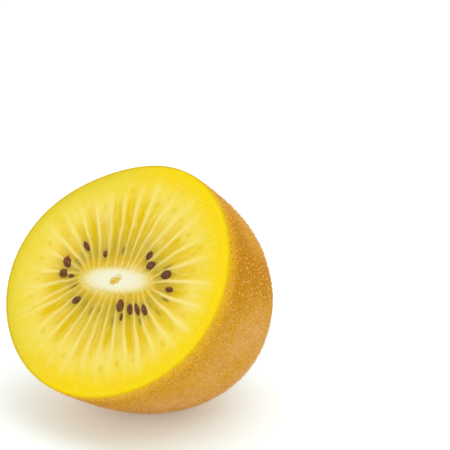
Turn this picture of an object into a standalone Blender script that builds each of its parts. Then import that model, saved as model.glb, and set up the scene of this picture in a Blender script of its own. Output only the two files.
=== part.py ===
"""Half of a golden kiwi fruit, cut across its middle, lying on its side with the cut face up.

A half like this has four parts. The skin is a thin cup. The flesh fills it, with the walls of its
seed chambers standing out from the cut like spokes, and the seeds showing between them. The pale
core runs from the cut towards the closed end, and the dry stem button sits in the dimple there.

Every shape is worked out in the cut face's own frame, and one empty then tilts them all:
X runs level across the face, Y up its slope, and Z straight out of it.
"""

import math

import bmesh
import bpy
from mathutils import Vector

MM = 0.001

# The whole half
MEAN_RADIUS = 26.5 * MM  # of the cut, skin included
DEPTH = 37.3 * MM  # from the cut to the closed end
FACE_TILT = math.radians(37.5)  # how far the cut face looks up from level
REST_DEPTH = 0.35 * MM  # how much of the skin the flat rest spot takes off

# The outline of the cut: a circle made a little oval, and a little three and four sided
OVAL = 0.040
OVAL_TURN = math.radians(21)
THREE_SIDED = 0.014
THREE_TURN = math.radians(68)
FOUR_SIDED = 0.009
FOUR_TURN = math.radians(-12)

# The side seen from the cut to the closed end: a superellipse that tapers slightly
DEPTH_POWER = 2.9
WIDTH_POWER = 2.6
TAPER = 0.055
POLE_RISE = 1.3 * MM  # the closed end lies off centre, up the slope
DIMPLE_DEPTH = 1.1 * MM
DIMPLE_RADIUS = 4.2 * MM

# Skin, and the gap kept between parts that touch
SKIN = 0.8 * MM
GAP = 0.3 * MM

# Core: an ellipse at the cut, which the seed chambers surround
CORE_LONG = 9.4 * MM  # half its length
CORE_SHORT = 2.9 * MM  # half its width
CORE_TURN = math.radians(7)
CORE_DEPTH = 30 * MM
CORE_TAPER_POWER = 2.2

# Seed chambers, and the walls between them. The walls crowd together in two ways as the fruit
# grows: towards one side of it, and towards the core's flat sides.
CHAMBERS = 32
FIRST_WALL = math.radians(8)
CROWD_ONE_SIDE = math.radians(5)
CROWD_TURN = math.radians(55)
CROWD_FLAT_SIDES = math.radians(3.5)
CHAMBER_REACH = 0.78  # of the mean radius, across the core
RELIEF = 0.25 * MM  # a wall stands this far out of the cut, and a chamber sinks this far in

# Seeds: the chamber wall each lies at or past, how far out as a share of the chamber's length, half
# its length and half its width in millimetres, and its lean from the spoke in degrees
SEEDS = (
    (0.93, 0.437, 1.37, 1.03, -7),
    (3.10, 0.238, 1.17, 0.89, 142),
    (4.04, 0.343, 1.10, 0.73, 0),
    (9.51, 0.235, 1.06, 0.57, 10),
    (11.61, 0.499, 1.50, 0.61, 6),
    (13.97, 0.560, 1.48, 0.96, -30),
    (15.04, 0.541, 1.16, 1.01, -20),
    (15.30, 0.355, 0.92, 0.46, 2),
    (18.94, 0.366, 1.20, 0.80, -25),
    (25.46, 0.207, 1.44, 1.00, 7),
    (25.80, 0.390, 1.07, 0.46, -3),
    (26.83, 0.290, 1.39, 0.75, 6),
    (27.73, 0.335, 1.64, 0.65, 9),
    (28.48, 0.406, 1.46, 0.72, 0),
    (31.46, 0.543, 1.12, 0.65, 3),
)
SEED_THICK = 0.62 * MM
SEED_SUNK = 0.20 * MM  # its middle lies this far under the cut
SEED_POINT = 0.35  # how much the end at the core narrows

# Stem button
BUTTON_RADIUS = 3.9 * MM
BUTTON_HEIGHT = 1.0 * MM
BUTTON_LOBES = 5
BUTTON_LOBE_SHARE = 0.08
STUB_RADIUS = 1.2 * MM

# How finely the shapes are divided
SIDES = 64
CHAMBER_SIDES = 4  # a wall's crest, its foot, the chamber's middle and the next wall's foot
SIDE_STEPS = 11
DIMPLE_STEPS = (0.45, 0.78)  # shares of the last of those steps
FACE_STEPS = 6
CORE_STEPS = 5
BUTTON_SIDES = 30


def clear_scene():
    for obj in list(bpy.data.objects):
        bpy.data.objects.remove(obj, do_unlink=True)


def material(name, colour, roughness):
    made = bpy.data.materials.new(name)
    made.use_nodes = True
    shader = made.node_tree.nodes["Principled BSDF"]
    shader.inputs["Base Color"].default_value = (*colour, 1)
    shader.inputs["Roughness"].default_value = roughness
    return made


# ---- the outside of the fruit


def section_radius(angle):
    """How far the skin is from the middle of the cut, at this angle from X."""
    oval = OVAL * math.cos(2 * (angle - OVAL_TURN))
    three = THREE_SIDED * math.cos(3 * (angle - THREE_TURN))
    four = FOUR_SIDED * math.cos(4 * (angle - FOUR_TURN))
    return MEAN_RADIUS * (1 + oval + three + four)


def skin_point(angle, lift):
    """A point on the skin. lift runs from 0 at the cut to a right angle at the closed end."""
    along = math.sin(lift) ** (2 / DEPTH_POWER)
    across = max(math.cos(lift), 0) ** (2 / WIDTH_POWER) * (1 - TAPER * along)
    reach = section_radius(angle) * across
    dimple = DIMPLE_DEPTH * math.exp(-((reach / DIMPLE_RADIUS) ** 2))
    rise = POLE_RISE * along
    return Vector((reach * math.cos(angle), reach * math.sin(angle) + rise, dimple - DEPTH * along))


def inset_point(angle, lift, inset):
    """The point straight under a point on the skin, this far in."""
    step = 1e-3
    if lift > math.pi / 2 - step:
        return skin_point(angle, math.pi / 2) + Vector((0, 0, inset))
    around = skin_point(angle + step, lift) - skin_point(angle - step, lift)
    back = skin_point(angle, lift + step) - skin_point(angle, max(lift - step, 0))
    outward = back.cross(around).normalized()
    point = skin_point(angle, lift) - outward * inset
    if lift == 0:
        point.z = 0
    return point


def side_rings(inset, angles):
    """Rings down the side, from the cut to the last one before the closed end."""
    step = math.pi / 2 / SIDE_STEPS
    lifts = [step * i for i in range(SIDE_STEPS)]
    lifts += [step * (SIDE_STEPS - 1 + share) for share in DIMPLE_STEPS]
    return [[inset_point(angle, lift, inset) for angle in angles] for lift in lifts]


def end_height(reach):
    """How high the skin lies at the closed end, this far from its middle."""
    across = reach / (MEAN_RADIUS * (1 - TAPER))
    along = (1 - across**WIDTH_POWER) ** (1 / DEPTH_POWER)
    return DIMPLE_DEPTH * math.exp(-((reach / DIMPLE_RADIUS) ** 2)) - DEPTH * along


def solid_from_rings(name, start, rings, end, finish):
    """One closed body: a fan from the point start, bands from ring to ring, a fan to the point end."""
    shape = bmesh.new()
    loops = [[shape.verts.new(p) for p in ring] for ring in rings]
    sides = len(rings[0])
    for tip, loop in ((start, loops[0]), (end, loops[-1])):
        point = shape.verts.new(tip)
        for j in range(sides):
            shape.faces.new((point, loop[j], loop[(j + 1) % sides]))
    for above, below in zip(loops, loops[1:]):
        for j in range(sides):
            after = (j + 1) % sides
            shape.faces.new((above[j], above[after], below[after], below[j]))
    bmesh.ops.recalc_face_normals(shape, faces=shape.faces)
    mesh = bpy.data.meshes.new(name)
    shape.to_mesh(mesh)
    shape.free()
    mesh.shade_smooth()
    mesh.set_sharp_from_angle(angle=math.radians(40))
    mesh.materials.append(finish)
    obj = bpy.data.objects.new(name, mesh)
    bpy.context.scene.collection.objects.link(obj)
    return obj


# ---- the pattern of the cut face: ellipses that grow rounder from the core outwards, and the lines
# that cross them squarely, which is how the chamber walls run

FOCUS = math.sqrt(CORE_LONG**2 - CORE_SHORT**2)
CORE_EDGE = math.asinh(CORE_SHORT / FOCUS)
CHAMBER_END = math.asinh(CHAMBER_REACH * MEAN_RADIUS / FOCUS)


def turned(x, y, z=0):
    """A point given along and across the core, in the face's frame."""
    cosine = math.cos(CORE_TURN)
    sine = math.sin(CORE_TURN)
    return Vector((x * cosine - y * sine, x * sine + y * cosine, z))


def face_point(spoke, share):
    """A point of the cut, on the line at angle spoke, from share 0 at the core to 1 at the chambers' end."""
    out = CORE_EDGE + share * (CHAMBER_END - CORE_EDGE)
    return turned(FOCUS * math.cosh(out) * math.cos(spoke), FOCUS * math.sinh(out) * math.sin(spoke))


def wall_spoke(place):
    """The angle of a chamber wall. A place between two whole numbers lies inside a chamber."""
    even = FIRST_WALL + math.tau * place / CHAMBERS
    one_side = CROWD_ONE_SIDE * math.sin(even - CROWD_TURN)
    return even + one_side + CROWD_FLAT_SIDES * math.sin(2 * even)


def flesh_spokes():
    return [wall_spoke(j / CHAMBER_SIDES) for j in range(CHAMBERS * CHAMBER_SIDES)]


def face_rings():
    """Rings on the cut, outside the core, with the walls raised and the chambers sunk."""
    rings = []
    for i in range(1, FACE_STEPS + 1):
        share = i / FACE_STEPS
        swell = RELIEF * math.sqrt(max(math.sin(math.pi * share), 0))
        ring = []
        for j, spoke in enumerate(flesh_spokes()):
            point = face_point(spoke, share)
            point.z = swell * math.cos(math.tau * j / CHAMBER_SIDES)
            ring.append(point)
        rings.append(ring)
    return rings


# ---- the parts


def make_skin(finish):
    angles = [math.tau * j / SIDES for j in range(SIDES)]
    outside = side_rings(0, angles)
    inside = side_rings(SKIN, angles)
    outer_tip = inset_point(0, math.pi / 2, 0)
    inner_tip = inset_point(0, math.pi / 2, SKIN)
    return solid_from_rings("skin", outer_tip, outside[::-1] + inside, inner_tip, finish)


def core_rings(spokes, room):
    """Rings of the core from the cut down, with this much room left all round it."""
    rings = []
    for i in range(CORE_STEPS):
        deep = math.sin(math.pi / 2 * i / CORE_STEPS)
        wide = (1 - deep**CORE_TAPER_POWER) ** (1 / CORE_TAPER_POWER)
        long = CORE_LONG * wide + room
        short = CORE_SHORT * wide + room
        level = -deep * (CORE_DEPTH + room)
        rings.append([turned(long * math.cos(a), short * math.sin(a), level) for a in spokes])
    return rings


def make_core(finish):
    spokes = [math.tau * j / SIDES for j in range(SIDES)]
    return solid_from_rings("core", turned(0, 0), core_rings(spokes, 0), turned(0, 0, -CORE_DEPTH), finish)


def make_flesh(finish):
    spokes = flesh_spokes()
    pocket = core_rings(spokes, GAP)
    pocket_tip = turned(0, 0, -CORE_DEPTH - GAP)
    ends = [face_point(spoke, 1) for spoke in spokes]
    side = side_rings(SKIN + GAP, [math.atan2(end.y, end.x) for end in ends])
    tip = inset_point(0, math.pi / 2, SKIN + GAP)
    flesh = solid_from_rings("flesh", pocket_tip, pocket[::-1] + face_rings() + side, tip, finish)
    join_seeds(flesh)
    return flesh


def make_seed(place, share, half_long, half_wide, lean):
    """One seed, its round end outwards and its narrow end towards the core, turned by its lean."""
    spoke = wall_spoke(place)
    middle = face_point(spoke, share)
    along_spoke = (face_point(spoke, share + 0.01) - middle).normalized()
    across_spoke = Vector((-along_spoke.y, along_spoke.x, 0))
    turn = math.radians(lean)
    outwards = along_spoke * math.cos(turn) + across_spoke * math.sin(turn)
    across = Vector((-outwards.y, outwards.x, 0))
    shape = bmesh.new()
    bmesh.ops.create_uvsphere(shape, u_segments=8, v_segments=5, radius=1)
    for vert in shape.verts:
        across_share, thick_share, long_share = vert.co
        narrow = 1 - SEED_POINT * max(-long_share, 0) ** 2
        vert.co = middle + outwards * (long_share * half_long * MM)
        vert.co += across * (across_share * narrow * half_wide * MM)
        vert.co.z += thick_share * narrow * SEED_THICK - SEED_SUNK
    bmesh.ops.recalc_face_normals(shape, faces=shape.faces)
    mesh = bpy.data.meshes.new("seed")
    shape.to_mesh(mesh)
    shape.free()
    mesh.shade_smooth()
    return bpy.data.objects.new("seed", mesh)


def join_seeds(flesh):
    """Sinks the seeds into the cut, as one body with the flesh that holds them."""
    seeds = bpy.data.collections.new("seeds")
    bpy.context.scene.collection.children.link(seeds)
    for row in SEEDS:
        seeds.objects.link(make_seed(*row))
    union = flesh.modifiers.new("seeds", "BOOLEAN")
    union.operation = "UNION"
    union.operand_type = "COLLECTION"
    union.collection = seeds
    union.solver = "EXACT"
    bpy.context.view_layer.update()
    joined = bpy.data.meshes.new_from_object(flesh.evaluated_get(bpy.context.evaluated_depsgraph_get()))
    flesh.modifiers.clear()
    flesh.data = joined
    for seed in list(seeds.objects):
        bpy.data.objects.remove(seed, do_unlink=True)
    bpy.data.collections.remove(seeds)


def button_ring(reach, height, lobes):
    """A ring round the closed end's middle, this share of the button's height above the skin."""
    ring = []
    for j in range(BUTTON_SIDES):
        angle = math.tau * j / BUTTON_SIDES
        lobed = reach * (1 + lobes * math.cos(BUTTON_LOBES * angle))
        level = end_height(lobed) - GAP - height * BUTTON_HEIGHT
        ring.append(Vector((lobed * math.cos(angle), lobed * math.sin(angle) + POLE_RISE, level)))
    return ring


def make_stem_button(finish):
    """A low lobed button with a stub in its hollow middle. It faces out of the closed end."""
    # How far out each ring is and how high, from underneath, over the rim and down into the hollow
    rim = (
        (0.55, 0.0),
        (0.95, 0.1),
        (1.0, 0.5),
        (0.88, 0.95),
        (0.68, 1.0),
        (0.46, 0.4),
    )
    rings = [button_ring(share * BUTTON_RADIUS, height, BUTTON_LOBE_SHARE) for share, height in rim]
    rings.append(button_ring(STUB_RADIUS, 0.3, 0))
    rings.append(button_ring(0.85 * STUB_RADIUS, 1.1, 0))
    under = Vector((0, POLE_RISE, end_height(0) - GAP))
    top = Vector((0, POLE_RISE, end_height(0) - GAP - 1.2 * BUTTON_HEIGHT))
    return solid_from_rings("stem_button", under, rings, top, finish)


def lowest_point(tilt):
    """Where the tilted skin would touch a table."""
    steps = 90
    lifts = [math.pi / 2 * i / steps for i in range(steps)]
    angles = [math.tau * j / (2 * steps) for j in range(2 * steps)]
    points = [tilt @ skin_point(angle, lift) for lift in lifts for angle in angles]
    return min(points, key=lambda point: point.z)


def lay_down(parts):
    """Tilts the half as it lies, its lowest point sunk under the origin by the rest spot's depth."""
    fruit = bpy.data.objects.new("fruit", None)
    bpy.context.scene.collection.objects.link(fruit)
    fruit.rotation_euler = (math.pi / 2 - FACE_TILT, 0, 0)
    fruit.location = -lowest_point(fruit.rotation_euler.to_matrix())
    fruit.location.z -= REST_DEPTH
    for part in parts:
        part.parent = fruit


def flatten_rest_spot(skin):
    """A soft fruit flattens where it lies: a block below level zero takes that slice off the skin."""
    bpy.ops.mesh.primitive_cube_add(size=1)
    block = bpy.context.object
    block.name = "rest_spot_cutter"
    block.dimensions = (60 * MM, 60 * MM, 20 * MM)
    block.location = (0, 0, -10 * MM)
    block.hide_render = True
    block.display_type = "WIRE"
    cut = skin.modifiers.new("rest_spot", "BOOLEAN")
    cut.operation = "DIFFERENCE"
    cut.solver = "EXACT"
    cut.object = block


def main():
    clear_scene()
    skin = make_skin(material("skin", (0.52, 0.28, 0.05), 0.55))
    flesh = make_flesh(material("flesh", (0.90, 0.68, 0.07), 0.35))
    core = make_core(material("core", (0.90, 0.84, 0.60), 0.45))
    button = make_stem_button(material("stem_button", (0.20, 0.10, 0.04), 0.80))
    lay_down([skin, flesh, core, button])
    flatten_rest_spot(skin)


main()
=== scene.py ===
# %% [markdown]
# # Half a golden kiwi fruit
#
# A golden kiwi fruit is cut across its middle, and one half lies on its side with the cut looking up
# at you. Four things grew together in it: a thin fuzzy skin, golden flesh with its ring of seeds, a
# pale core, and the dry button where the fruit hung from its stem. Each is made and finished here in
# its own cells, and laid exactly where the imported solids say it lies.

# %% Load the frame
import math

import bpy
import numpy as np
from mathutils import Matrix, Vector, noise


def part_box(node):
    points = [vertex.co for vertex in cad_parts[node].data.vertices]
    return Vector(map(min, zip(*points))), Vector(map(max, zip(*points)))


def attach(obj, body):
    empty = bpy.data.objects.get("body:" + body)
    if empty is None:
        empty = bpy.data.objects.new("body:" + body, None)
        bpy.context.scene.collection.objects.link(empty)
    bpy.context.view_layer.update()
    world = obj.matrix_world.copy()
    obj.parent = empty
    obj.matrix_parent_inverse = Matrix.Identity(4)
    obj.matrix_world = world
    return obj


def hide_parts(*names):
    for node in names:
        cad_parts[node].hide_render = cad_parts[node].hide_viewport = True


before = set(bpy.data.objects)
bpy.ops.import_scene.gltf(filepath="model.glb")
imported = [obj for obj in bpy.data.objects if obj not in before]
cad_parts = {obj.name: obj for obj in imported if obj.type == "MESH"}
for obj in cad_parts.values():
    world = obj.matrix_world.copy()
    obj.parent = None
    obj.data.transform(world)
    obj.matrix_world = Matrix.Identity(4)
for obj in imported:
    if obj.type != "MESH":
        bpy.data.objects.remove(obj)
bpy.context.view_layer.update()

print("solids in the frame:", sorted(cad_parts))

# %% [markdown]
# ## The shape of the half
#
# A fruit has no straight edge to measure from, so its shape is a rule. The cut is a circle made a
# little oval and a little three and four sided. From the side it is a superellipse: the curve
# between an ellipse and a rectangle, which gives a kiwi fruit its barrel sides and blunt end. The
# rule could be a sculpted mesh instead, but then skin, flesh and button would each need fitting to
# it. With a rule each of them just asks where the surface is.
#
# All of it is worked out in the frame of the cut: X runs level across it, Y up its slope, Z out of it.

# %% Driving sizes and the outline of the cut
MM = 0.001
MEAN_RADIUS = 26.5 * MM
DEPTH = 37.3 * MM
FACE_TILT = math.radians(37.5)
REST_DEPTH = 0.35 * MM
OVAL, OVAL_TURN = 0.040, math.radians(21)
THREE_SIDED, THREE_TURN = 0.014, math.radians(68)
FOUR_SIDED, FOUR_TURN = 0.009, math.radians(-12)


def section_radius(angle):
    """How far the skin is from the middle of the cut, at this angle from X."""
    oval = OVAL * np.cos(2 * (angle - OVAL_TURN))
    three_sided = THREE_SIDED * np.cos(3 * (angle - THREE_TURN))
    four_sided = FOUR_SIDED * np.cos(4 * (angle - FOUR_TURN))
    return MEAN_RADIUS * (1 + oval + three_sided + four_sided)


turn = np.linspace(0, math.tau, 361)
print("the cut is", round(2 * section_radius(turn).mean() / MM, 1), "mm across on average")

# %% The surface under the fuzz
DEPTH_POWER = 2.9
WIDTH_POWER = 2.6
TAPER = 0.055
POLE_RISE = 1.3 * MM
DIMPLE_DEPTH = 1.1 * MM
DIMPLE_RADIUS = 4.2 * MM


def skin_points(angle, lift):
    """Points on the skin. lift runs from 0 at the cut to a right angle at the closed end."""
    along = np.sin(lift) ** (2 / DEPTH_POWER)
    across = np.maximum(np.cos(lift), 0) ** (2 / WIDTH_POWER) * (1 - TAPER * along)
    reach = section_radius(angle) * across
    dimple = DIMPLE_DEPTH * np.exp(-((reach / DIMPLE_RADIUS) ** 2))
    x = reach * np.cos(angle)
    y = reach * np.sin(angle) + POLE_RISE * along
    return np.stack(np.broadcast_arrays(x, y, dimple - DEPTH * along), -1)


def skin_normals(angle, lift):
    """Which way the skin faces, from two short steps along it."""
    step = 1e-3
    lift = np.clip(lift, step, math.pi / 2 - 2 * step)
    around = skin_points(angle + step, lift) - skin_points(angle - step, lift)
    back = skin_points(angle, lift + step) - skin_points(angle, lift - step)
    outward = np.cross(back, around)
    return outward / np.linalg.norm(outward, axis=-1, keepdims=True)


print("the closed end is", round(-skin_points(0.0, math.pi / 2)[2] / MM, 1), "mm behind the cut")

# %% [markdown]
# ## How the half lies
#
# The half rolls until its weight is over the spot it rests on, and there the soft skin goes a little
# flat. The lowest point of the tilted rule is found and sunk under the table by that little, just as
# the solids were made, and the result is held against the skin's solid as a test.

# %% Tilt the half and set it down
LEAN = math.pi / 2 - FACE_TILT
TILT = np.array(
    (
        (1, 0, 0),
        (0, math.cos(LEAN), -math.sin(LEAN)),
        (0, math.sin(LEAN), math.cos(LEAN)),
    )
)
FACE_NORMAL = TILT[:, 2]

# A point every two degrees round and every degree down is close enough to find the lowest
ring, rise = np.meshgrid(np.arange(180) * math.tau / 180, np.arange(90) * math.pi / 180)
tilted = skin_points(ring, rise).reshape(-1, 3) @ TILT.T
SEAT = -tilted[tilted[:, 2].argmin()] - np.array((0, 0, REST_DEPTH))


def on_table(points):
    """Moves points from the frame of the cut to the frame of the table."""
    return points @ TILT.T + SEAT


solid_low, solid_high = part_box("skin")
laid = tilted + SEAT
worst = max(np.abs(laid.max(0) - solid_high).max(), np.abs(laid.min(0)[:2] - solid_low[:2]).max())
print("the rule and the solid differ by", round(worst / MM, 2), "mm at most")

# %% [markdown]
# ## Small helpers for shapes
#
# A few jobs come back for every piece, so each gets one small function. `closed_body` skins a stack
# of rings into one closed mesh: bands between the rings, and a fan at each end. It measures the
# volume it made and turns the faces round if that comes out negative, so they always face outwards.
# `store` keeps marks on a mesh, numbers that say for each point how furry or how deep it is. The
# finishes read them, so colour lies exactly where the shape was made and needs no painted image.

# %% Make a closed body from rings
def closed_body(name, start, rings, end):
    """A closed piece. rings is rows by columns by 3, in the frame of the cut."""
    rows, columns = rings.shape[:2]
    points = np.concatenate((rings.reshape(-1, 3), [start], [end]))
    points = on_table(points)
    points[:, 2] = np.maximum(points[:, 2], 0)
    place = np.arange(rows * columns).reshape(rows, columns)
    after = np.roll(place, -1, axis=1)
    bands = np.stack((place[:-1], after[:-1], after[1:], place[1:]), -1).reshape(-1, 4)
    first = np.stack((np.full(columns, rows * columns), after[0], place[0]), -1)
    last = np.stack((np.full(columns, rows * columns + 1), place[-1], after[-1]), -1)
    corners = np.concatenate((bands[:, :3], bands[:, (0, 2, 3)], first, last))
    a, b, c = (points[corners[:, i]] for i in range(3))
    if np.einsum("ij,ij->", a, np.cross(b, c)) < 0:
        bands, first, last = bands[:, ::-1], first[:, ::-1], last[:, ::-1]
    mesh = bpy.data.meshes.new(name)
    mesh.from_pydata(points.tolist(), [], bands.tolist() + first.tolist() + last.tolist())
    mesh.shade_smooth()
    piece = bpy.data.objects.new(name, mesh)
    bpy.context.scene.collection.objects.link(piece)
    return piece


# %% Keep marks on a mesh, and make noise and soft steps
def store(piece, name, values, kind="FLOAT"):
    """Keeps a number or a vector for each point of a piece, for its material or its nodes to read."""
    found = piece.data.attributes.new(name, kind, "POINT")
    found.data.foreach_set("vector" if kind == "FLOAT_VECTOR" else "value", np.ravel(values))


def triangles(piece):
    """How many triangles a piece has."""
    return sum(len(face.vertices) - 2 for face in piece.data.polygons)


def wavy(points, size, start=0.0):
    """Smooth noise from about -1 to 1 at each point, its bumps this size."""
    return np.array([noise.noise(Vector(p)) for p in (points / size + start).tolist()])


def smooth(value, low, high):
    """0 below low, 1 above high, and a soft S between."""
    t = np.clip((value - low) / (high - low), 0, 1)
    return t * t * (3 - 2 * t)


def bell(away, width):
    """1 where away is 0, and falls off softly over this width on both sides."""
    return np.exp(-((away / width) ** 2))


print("a bell one width away is", round(bell(1.0, 1.0), 2))

# %% [markdown]
# ## Small helpers for finishes
#
# `hex_colour` turns the sRGB hex colour that you read off a colour chart into the linear light that
# Blender works in. `add` adds a node of any kind to any tree, with its settings and its inputs, and
# `wire` gives the inputs alone, to a node that is there already. Every finish here is built like
# paint: `lay_coats` lays coats over a ground colour, each as thick as marks and noises say.

# %% Colours and nodes
def hex_colour(code):
    """A colour such as "#f5da31", as linear red, green, blue and alpha."""
    parts = [int(code[i : i + 2], 16) / 255 for i in (1, 3, 5)]
    linear = [p / 12.92 if p <= 0.04045 else ((p + 0.055) / 1.055) ** 2.4 for p in parts]
    return (*linear, 1.0)


def wire(tree, node, inputs):
    """Gives a node's inputs, by name or number, a value each, or a socket or node to read."""
    for key, value in inputs.items():
        if isinstance(value, bpy.types.Node):
            value = value.outputs[0]
        if isinstance(value, bpy.types.NodeSocket):
            tree.links.new(value, node.inputs[key])
        else:
            node.inputs[key].default_value = value


def add(tree, kind, inputs=None, **settings):
    """Adds a node with its settings and its inputs."""
    node = tree.nodes.new(kind)
    for name, value in settings.items():
        setattr(node, name, value)
    wire(tree, node, inputs or {})
    return node


print("the grey #808080 sends back", round(hex_colour("#808080")[0], 2), "of the light")

# %% Materials, colour ramps and coats
# The sockets that a Mix node uses for colours: how thick the coat is, what is under it, the coat
# itself, and what comes out
MIX_SHARE, MIX_UNDER, MIX_OVER, MIXED = 0, 6, 7, 2


def new_material(name):
    """A material with an empty Principled shader, as the material, its tree and that shader."""
    made = bpy.data.materials.new(name)
    made.use_nodes = True
    return made, made.node_tree, made.node_tree.nodes["Principled BSDF"]


def set_stops(ramp, *stops):
    """Gives a colour ramp its stops, each a place from 0 to 1 and a hex colour."""
    elements = ramp.color_ramp.elements
    while len(elements) < len(stops):
        elements.new(1)
    for element, (place, code) in zip(elements, stops):
        element.position = place
        element.color = hex_colour(code)
    return ramp.outputs["Color"]


def lay_coats(tree, colour, *coats):
    """Lays coats over a colour. A coat is its factors, whose product says how thick, and its colour."""
    for *factors, coat in coats:
        cover = factors[0]
        for factor in factors[1:]:
            cover = add(tree, "ShaderNodeMath", {0: cover, 1: factor}, operation="MULTIPLY")
        coat = hex_colour(coat) if isinstance(coat, str) else coat
        layers = {MIX_SHARE: cover, MIX_UNDER: colour, MIX_OVER: coat}
        colour = add(tree, "ShaderNodeMix", layers, data_type="RGBA").outputs[MIXED]
    return colour


print("golden flesh in linear light:", [round(c, 3) for c in hex_colour("#f5da31")])

# %% [markdown]
# ## The skin
#
# The skin of a golden kiwi fruit is under half a millimetre thick, like fine leather. The body of
# the skin is one closed cup: its outer side has the soft dents that a ripe fruit has, its rim is the
# knife's cut, and its inner side is out of sight and needs few rings. Solidify could thicken a
# single sheet, but the rim shows, and here the knife has to leave it exactly in the plane of the cut.

# %% Rings that follow the skin
SKIN_AT_CUT = 0.14 * MM
SKIN_INSIDE = 0.50 * MM
SKIN_COLUMNS = 420
SKIN_ROWS = 140
SKIN_ROWS_INSIDE = 14


def even_lifts(rows):
    """Lifts from the cut towards the closed end that are the same distance apart along the skin."""
    lift = np.linspace(0, math.pi / 2, 2000)
    side = skin_points(np.zeros_like(lift), lift)
    walked = np.concatenate(([0], np.cumsum(np.linalg.norm(np.diff(side, axis=0), axis=1))))
    return np.interp(np.linspace(0, walked[-1], rows + 1)[:-1], walked, lift)


def side_rings(angle, lift, inset_at_cut, inset):
    """Rings under the skin, this far under it at the cut and that far further down."""
    depth = -skin_points(angle, lift)[..., 2]
    under = inset_at_cut + (inset - inset_at_cut) * smooth(depth, 0.1 * MM, 2.5 * MM)
    facing = skin_normals(angle, lift)
    points = skin_points(angle, lift) - facing * under[..., None]
    points[0, :, 2] = 0
    return points, facing


skin_turns = np.arange(SKIN_COLUMNS) * math.tau / SKIN_COLUMNS
outside, facing = side_rings(*np.meshgrid(skin_turns, even_lifts(SKIN_ROWS)), 0, 0)
inside, _ = side_rings(*np.meshgrid(skin_turns, even_lifts(SKIN_ROWS_INSIDE)), SKIN_AT_CUT, SKIN_INSIDE)
print("the outside has", outside[..., 0].size, "points and the inside", inside[..., 0].size)

# %% Dent the outside and close the cup
# Height and size of the dents in millimetres, and where their noise starts
DENTS = ((0.10, 9, 0), (0.05, 3, 7), (0.03, 1.1, 19))
dents = sum(height * wavy(outside.reshape(-1, 3), size * MM, start) for height, size, start in DENTS)
fade = smooth(-outside[..., 2], 0.3 * MM, 3 * MM)
outside = outside + facing * (dents.reshape(fade.shape) * fade * MM)[..., None]

outer_tip = skin_points(0.0, math.pi / 2)
inner_tip = outer_tip + np.array((0, 0, SKIN_INSIDE))
skin = closed_body("fruit_skin", outer_tip, np.concatenate((outside[::-1], inside)), inner_tip)
print("skin:", triangles(skin), "triangles")

# %% [markdown]
# ### Marks for the skin's finish
#
# What grows on the skin isn't even. Specks and hairs grow on the outside only, and not where the
# fruit rests. A belt along the sunny side is smooth, deep gold and speckled, and a weaker one lies
# across from it. The rest is tan and furry, most of all towards the closed end, and the fur hides
# most of the specks. Numbers kept on the mesh say so, and the nodes below read them.

# %% Where the two gold belts run
SUNNY_SIDE = math.radians(29)
OTHER_SIDE = math.radians(158)
# The outer rings are stacked from the closed end to the cut, so their marks are too
ranked = outside[::-1].reshape(-1, 3)
depth = -ranked[:, 2]
# The angle round the fruit wanders a little, so that no belt has a straight edge
side_turn = np.arctan2(ranked[:, 1], ranked[:, 0]) + 0.16 * wavy(ranked, 9 * MM, 61)


def belt_round(middle, half_width):
    """A belt along the fruit: 1 at its middle, fading over this many degrees on both sides."""
    away = np.angle(np.exp(1j * (side_turn - middle)))
    return bell(away, math.radians(half_width))


belt = belt_round(SUNNY_SIDE, 19) + 0.6 * belt_round(OTHER_SIDE, 34)
belt *= smooth(depth, -2 * MM, 3 * MM) * (1 - smooth(depth / DEPTH, 0.60, 0.97))
belt *= 1 + 0.35 * wavy(ranked, 5 * MM, 71)
print("the belts cover", round(100 * (belt > 0.5).mean()), "% of the skin")

# %% Where specks and fuzz grow
far_down = smooth(depth, 10 * MM, 22 * MM)
patches = wavy(ranked, 11 * MM, 3) + 0.5 * wavy(ranked, 4 * MM, 23)
furry = 0.36 + 0.42 * smooth(depth, 3 * MM, 15 * MM) + 0.10 * smooth(depth / DEPTH, 0.5, 1.0)
furry += (0.20 + 0.20 * far_down) * patches - 0.75 * belt
furry = np.clip(furry, 0, 1)
off_table = smooth(on_table(ranked)[:, 2], 0.2 * MM, 0.9 * MM)
grows = smooth(depth, 0.2 * MM, 0.8 * MM) * off_table
specked = grows * (1 - (0.70 - 0.30 * far_down) * furry)


def skin_marks(values):
    """Adds zeros for the skin's inside, which nobody sees, to the marks of its outside."""
    return np.concatenate((values, np.zeros(len(skin.data.vertices) - len(ranked))))


store(skin, "furry", skin_marks(furry))
store(skin, "grows", skin_marks(grows))
store(skin, "specked", skin_marks(specked))
store(skin, "upper", skin_marks(smooth(np.sin(side_turn), 0.1, 0.8)))
inner_depth = -np.concatenate((inside.reshape(-1, 3), [outer_tip, inner_tip]))[:, 2]
store(skin, "from_cut", np.concatenate((depth, inner_depth)) / MM)
print("the skin is furry over", round(100 * (furry > 0.5).mean()), "% of it")

# %% [markdown]
# ### Finish: kiwi fruit skin
#
# The finish is a thin cuticle over cells full of gold pigment, dry and satin to the eye, IOR about
# 1.45. Two scales of noise mix deep gold with dull tan, and the number kept as `furry` says how much
# tan there is. Where the skin is furry, the finest hairs lie flat on it: they are too fine to model,
# so a closer noise draws them as pale strands with brown between. Near the cut, light comes through
# the flesh, and that glow is painted into the skin's colour as a brighter, yellower band.

# %% Skin finish: gold and tan
skin_finish, tree, shader = new_material("kiwi_fruit_skin")
furry_mark = add(tree, "ShaderNodeAttribute", attribute_name="furry").outputs["Fac"]
object_place = add(tree, "ShaderNodeTexCoord").outputs["Object"]

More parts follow.
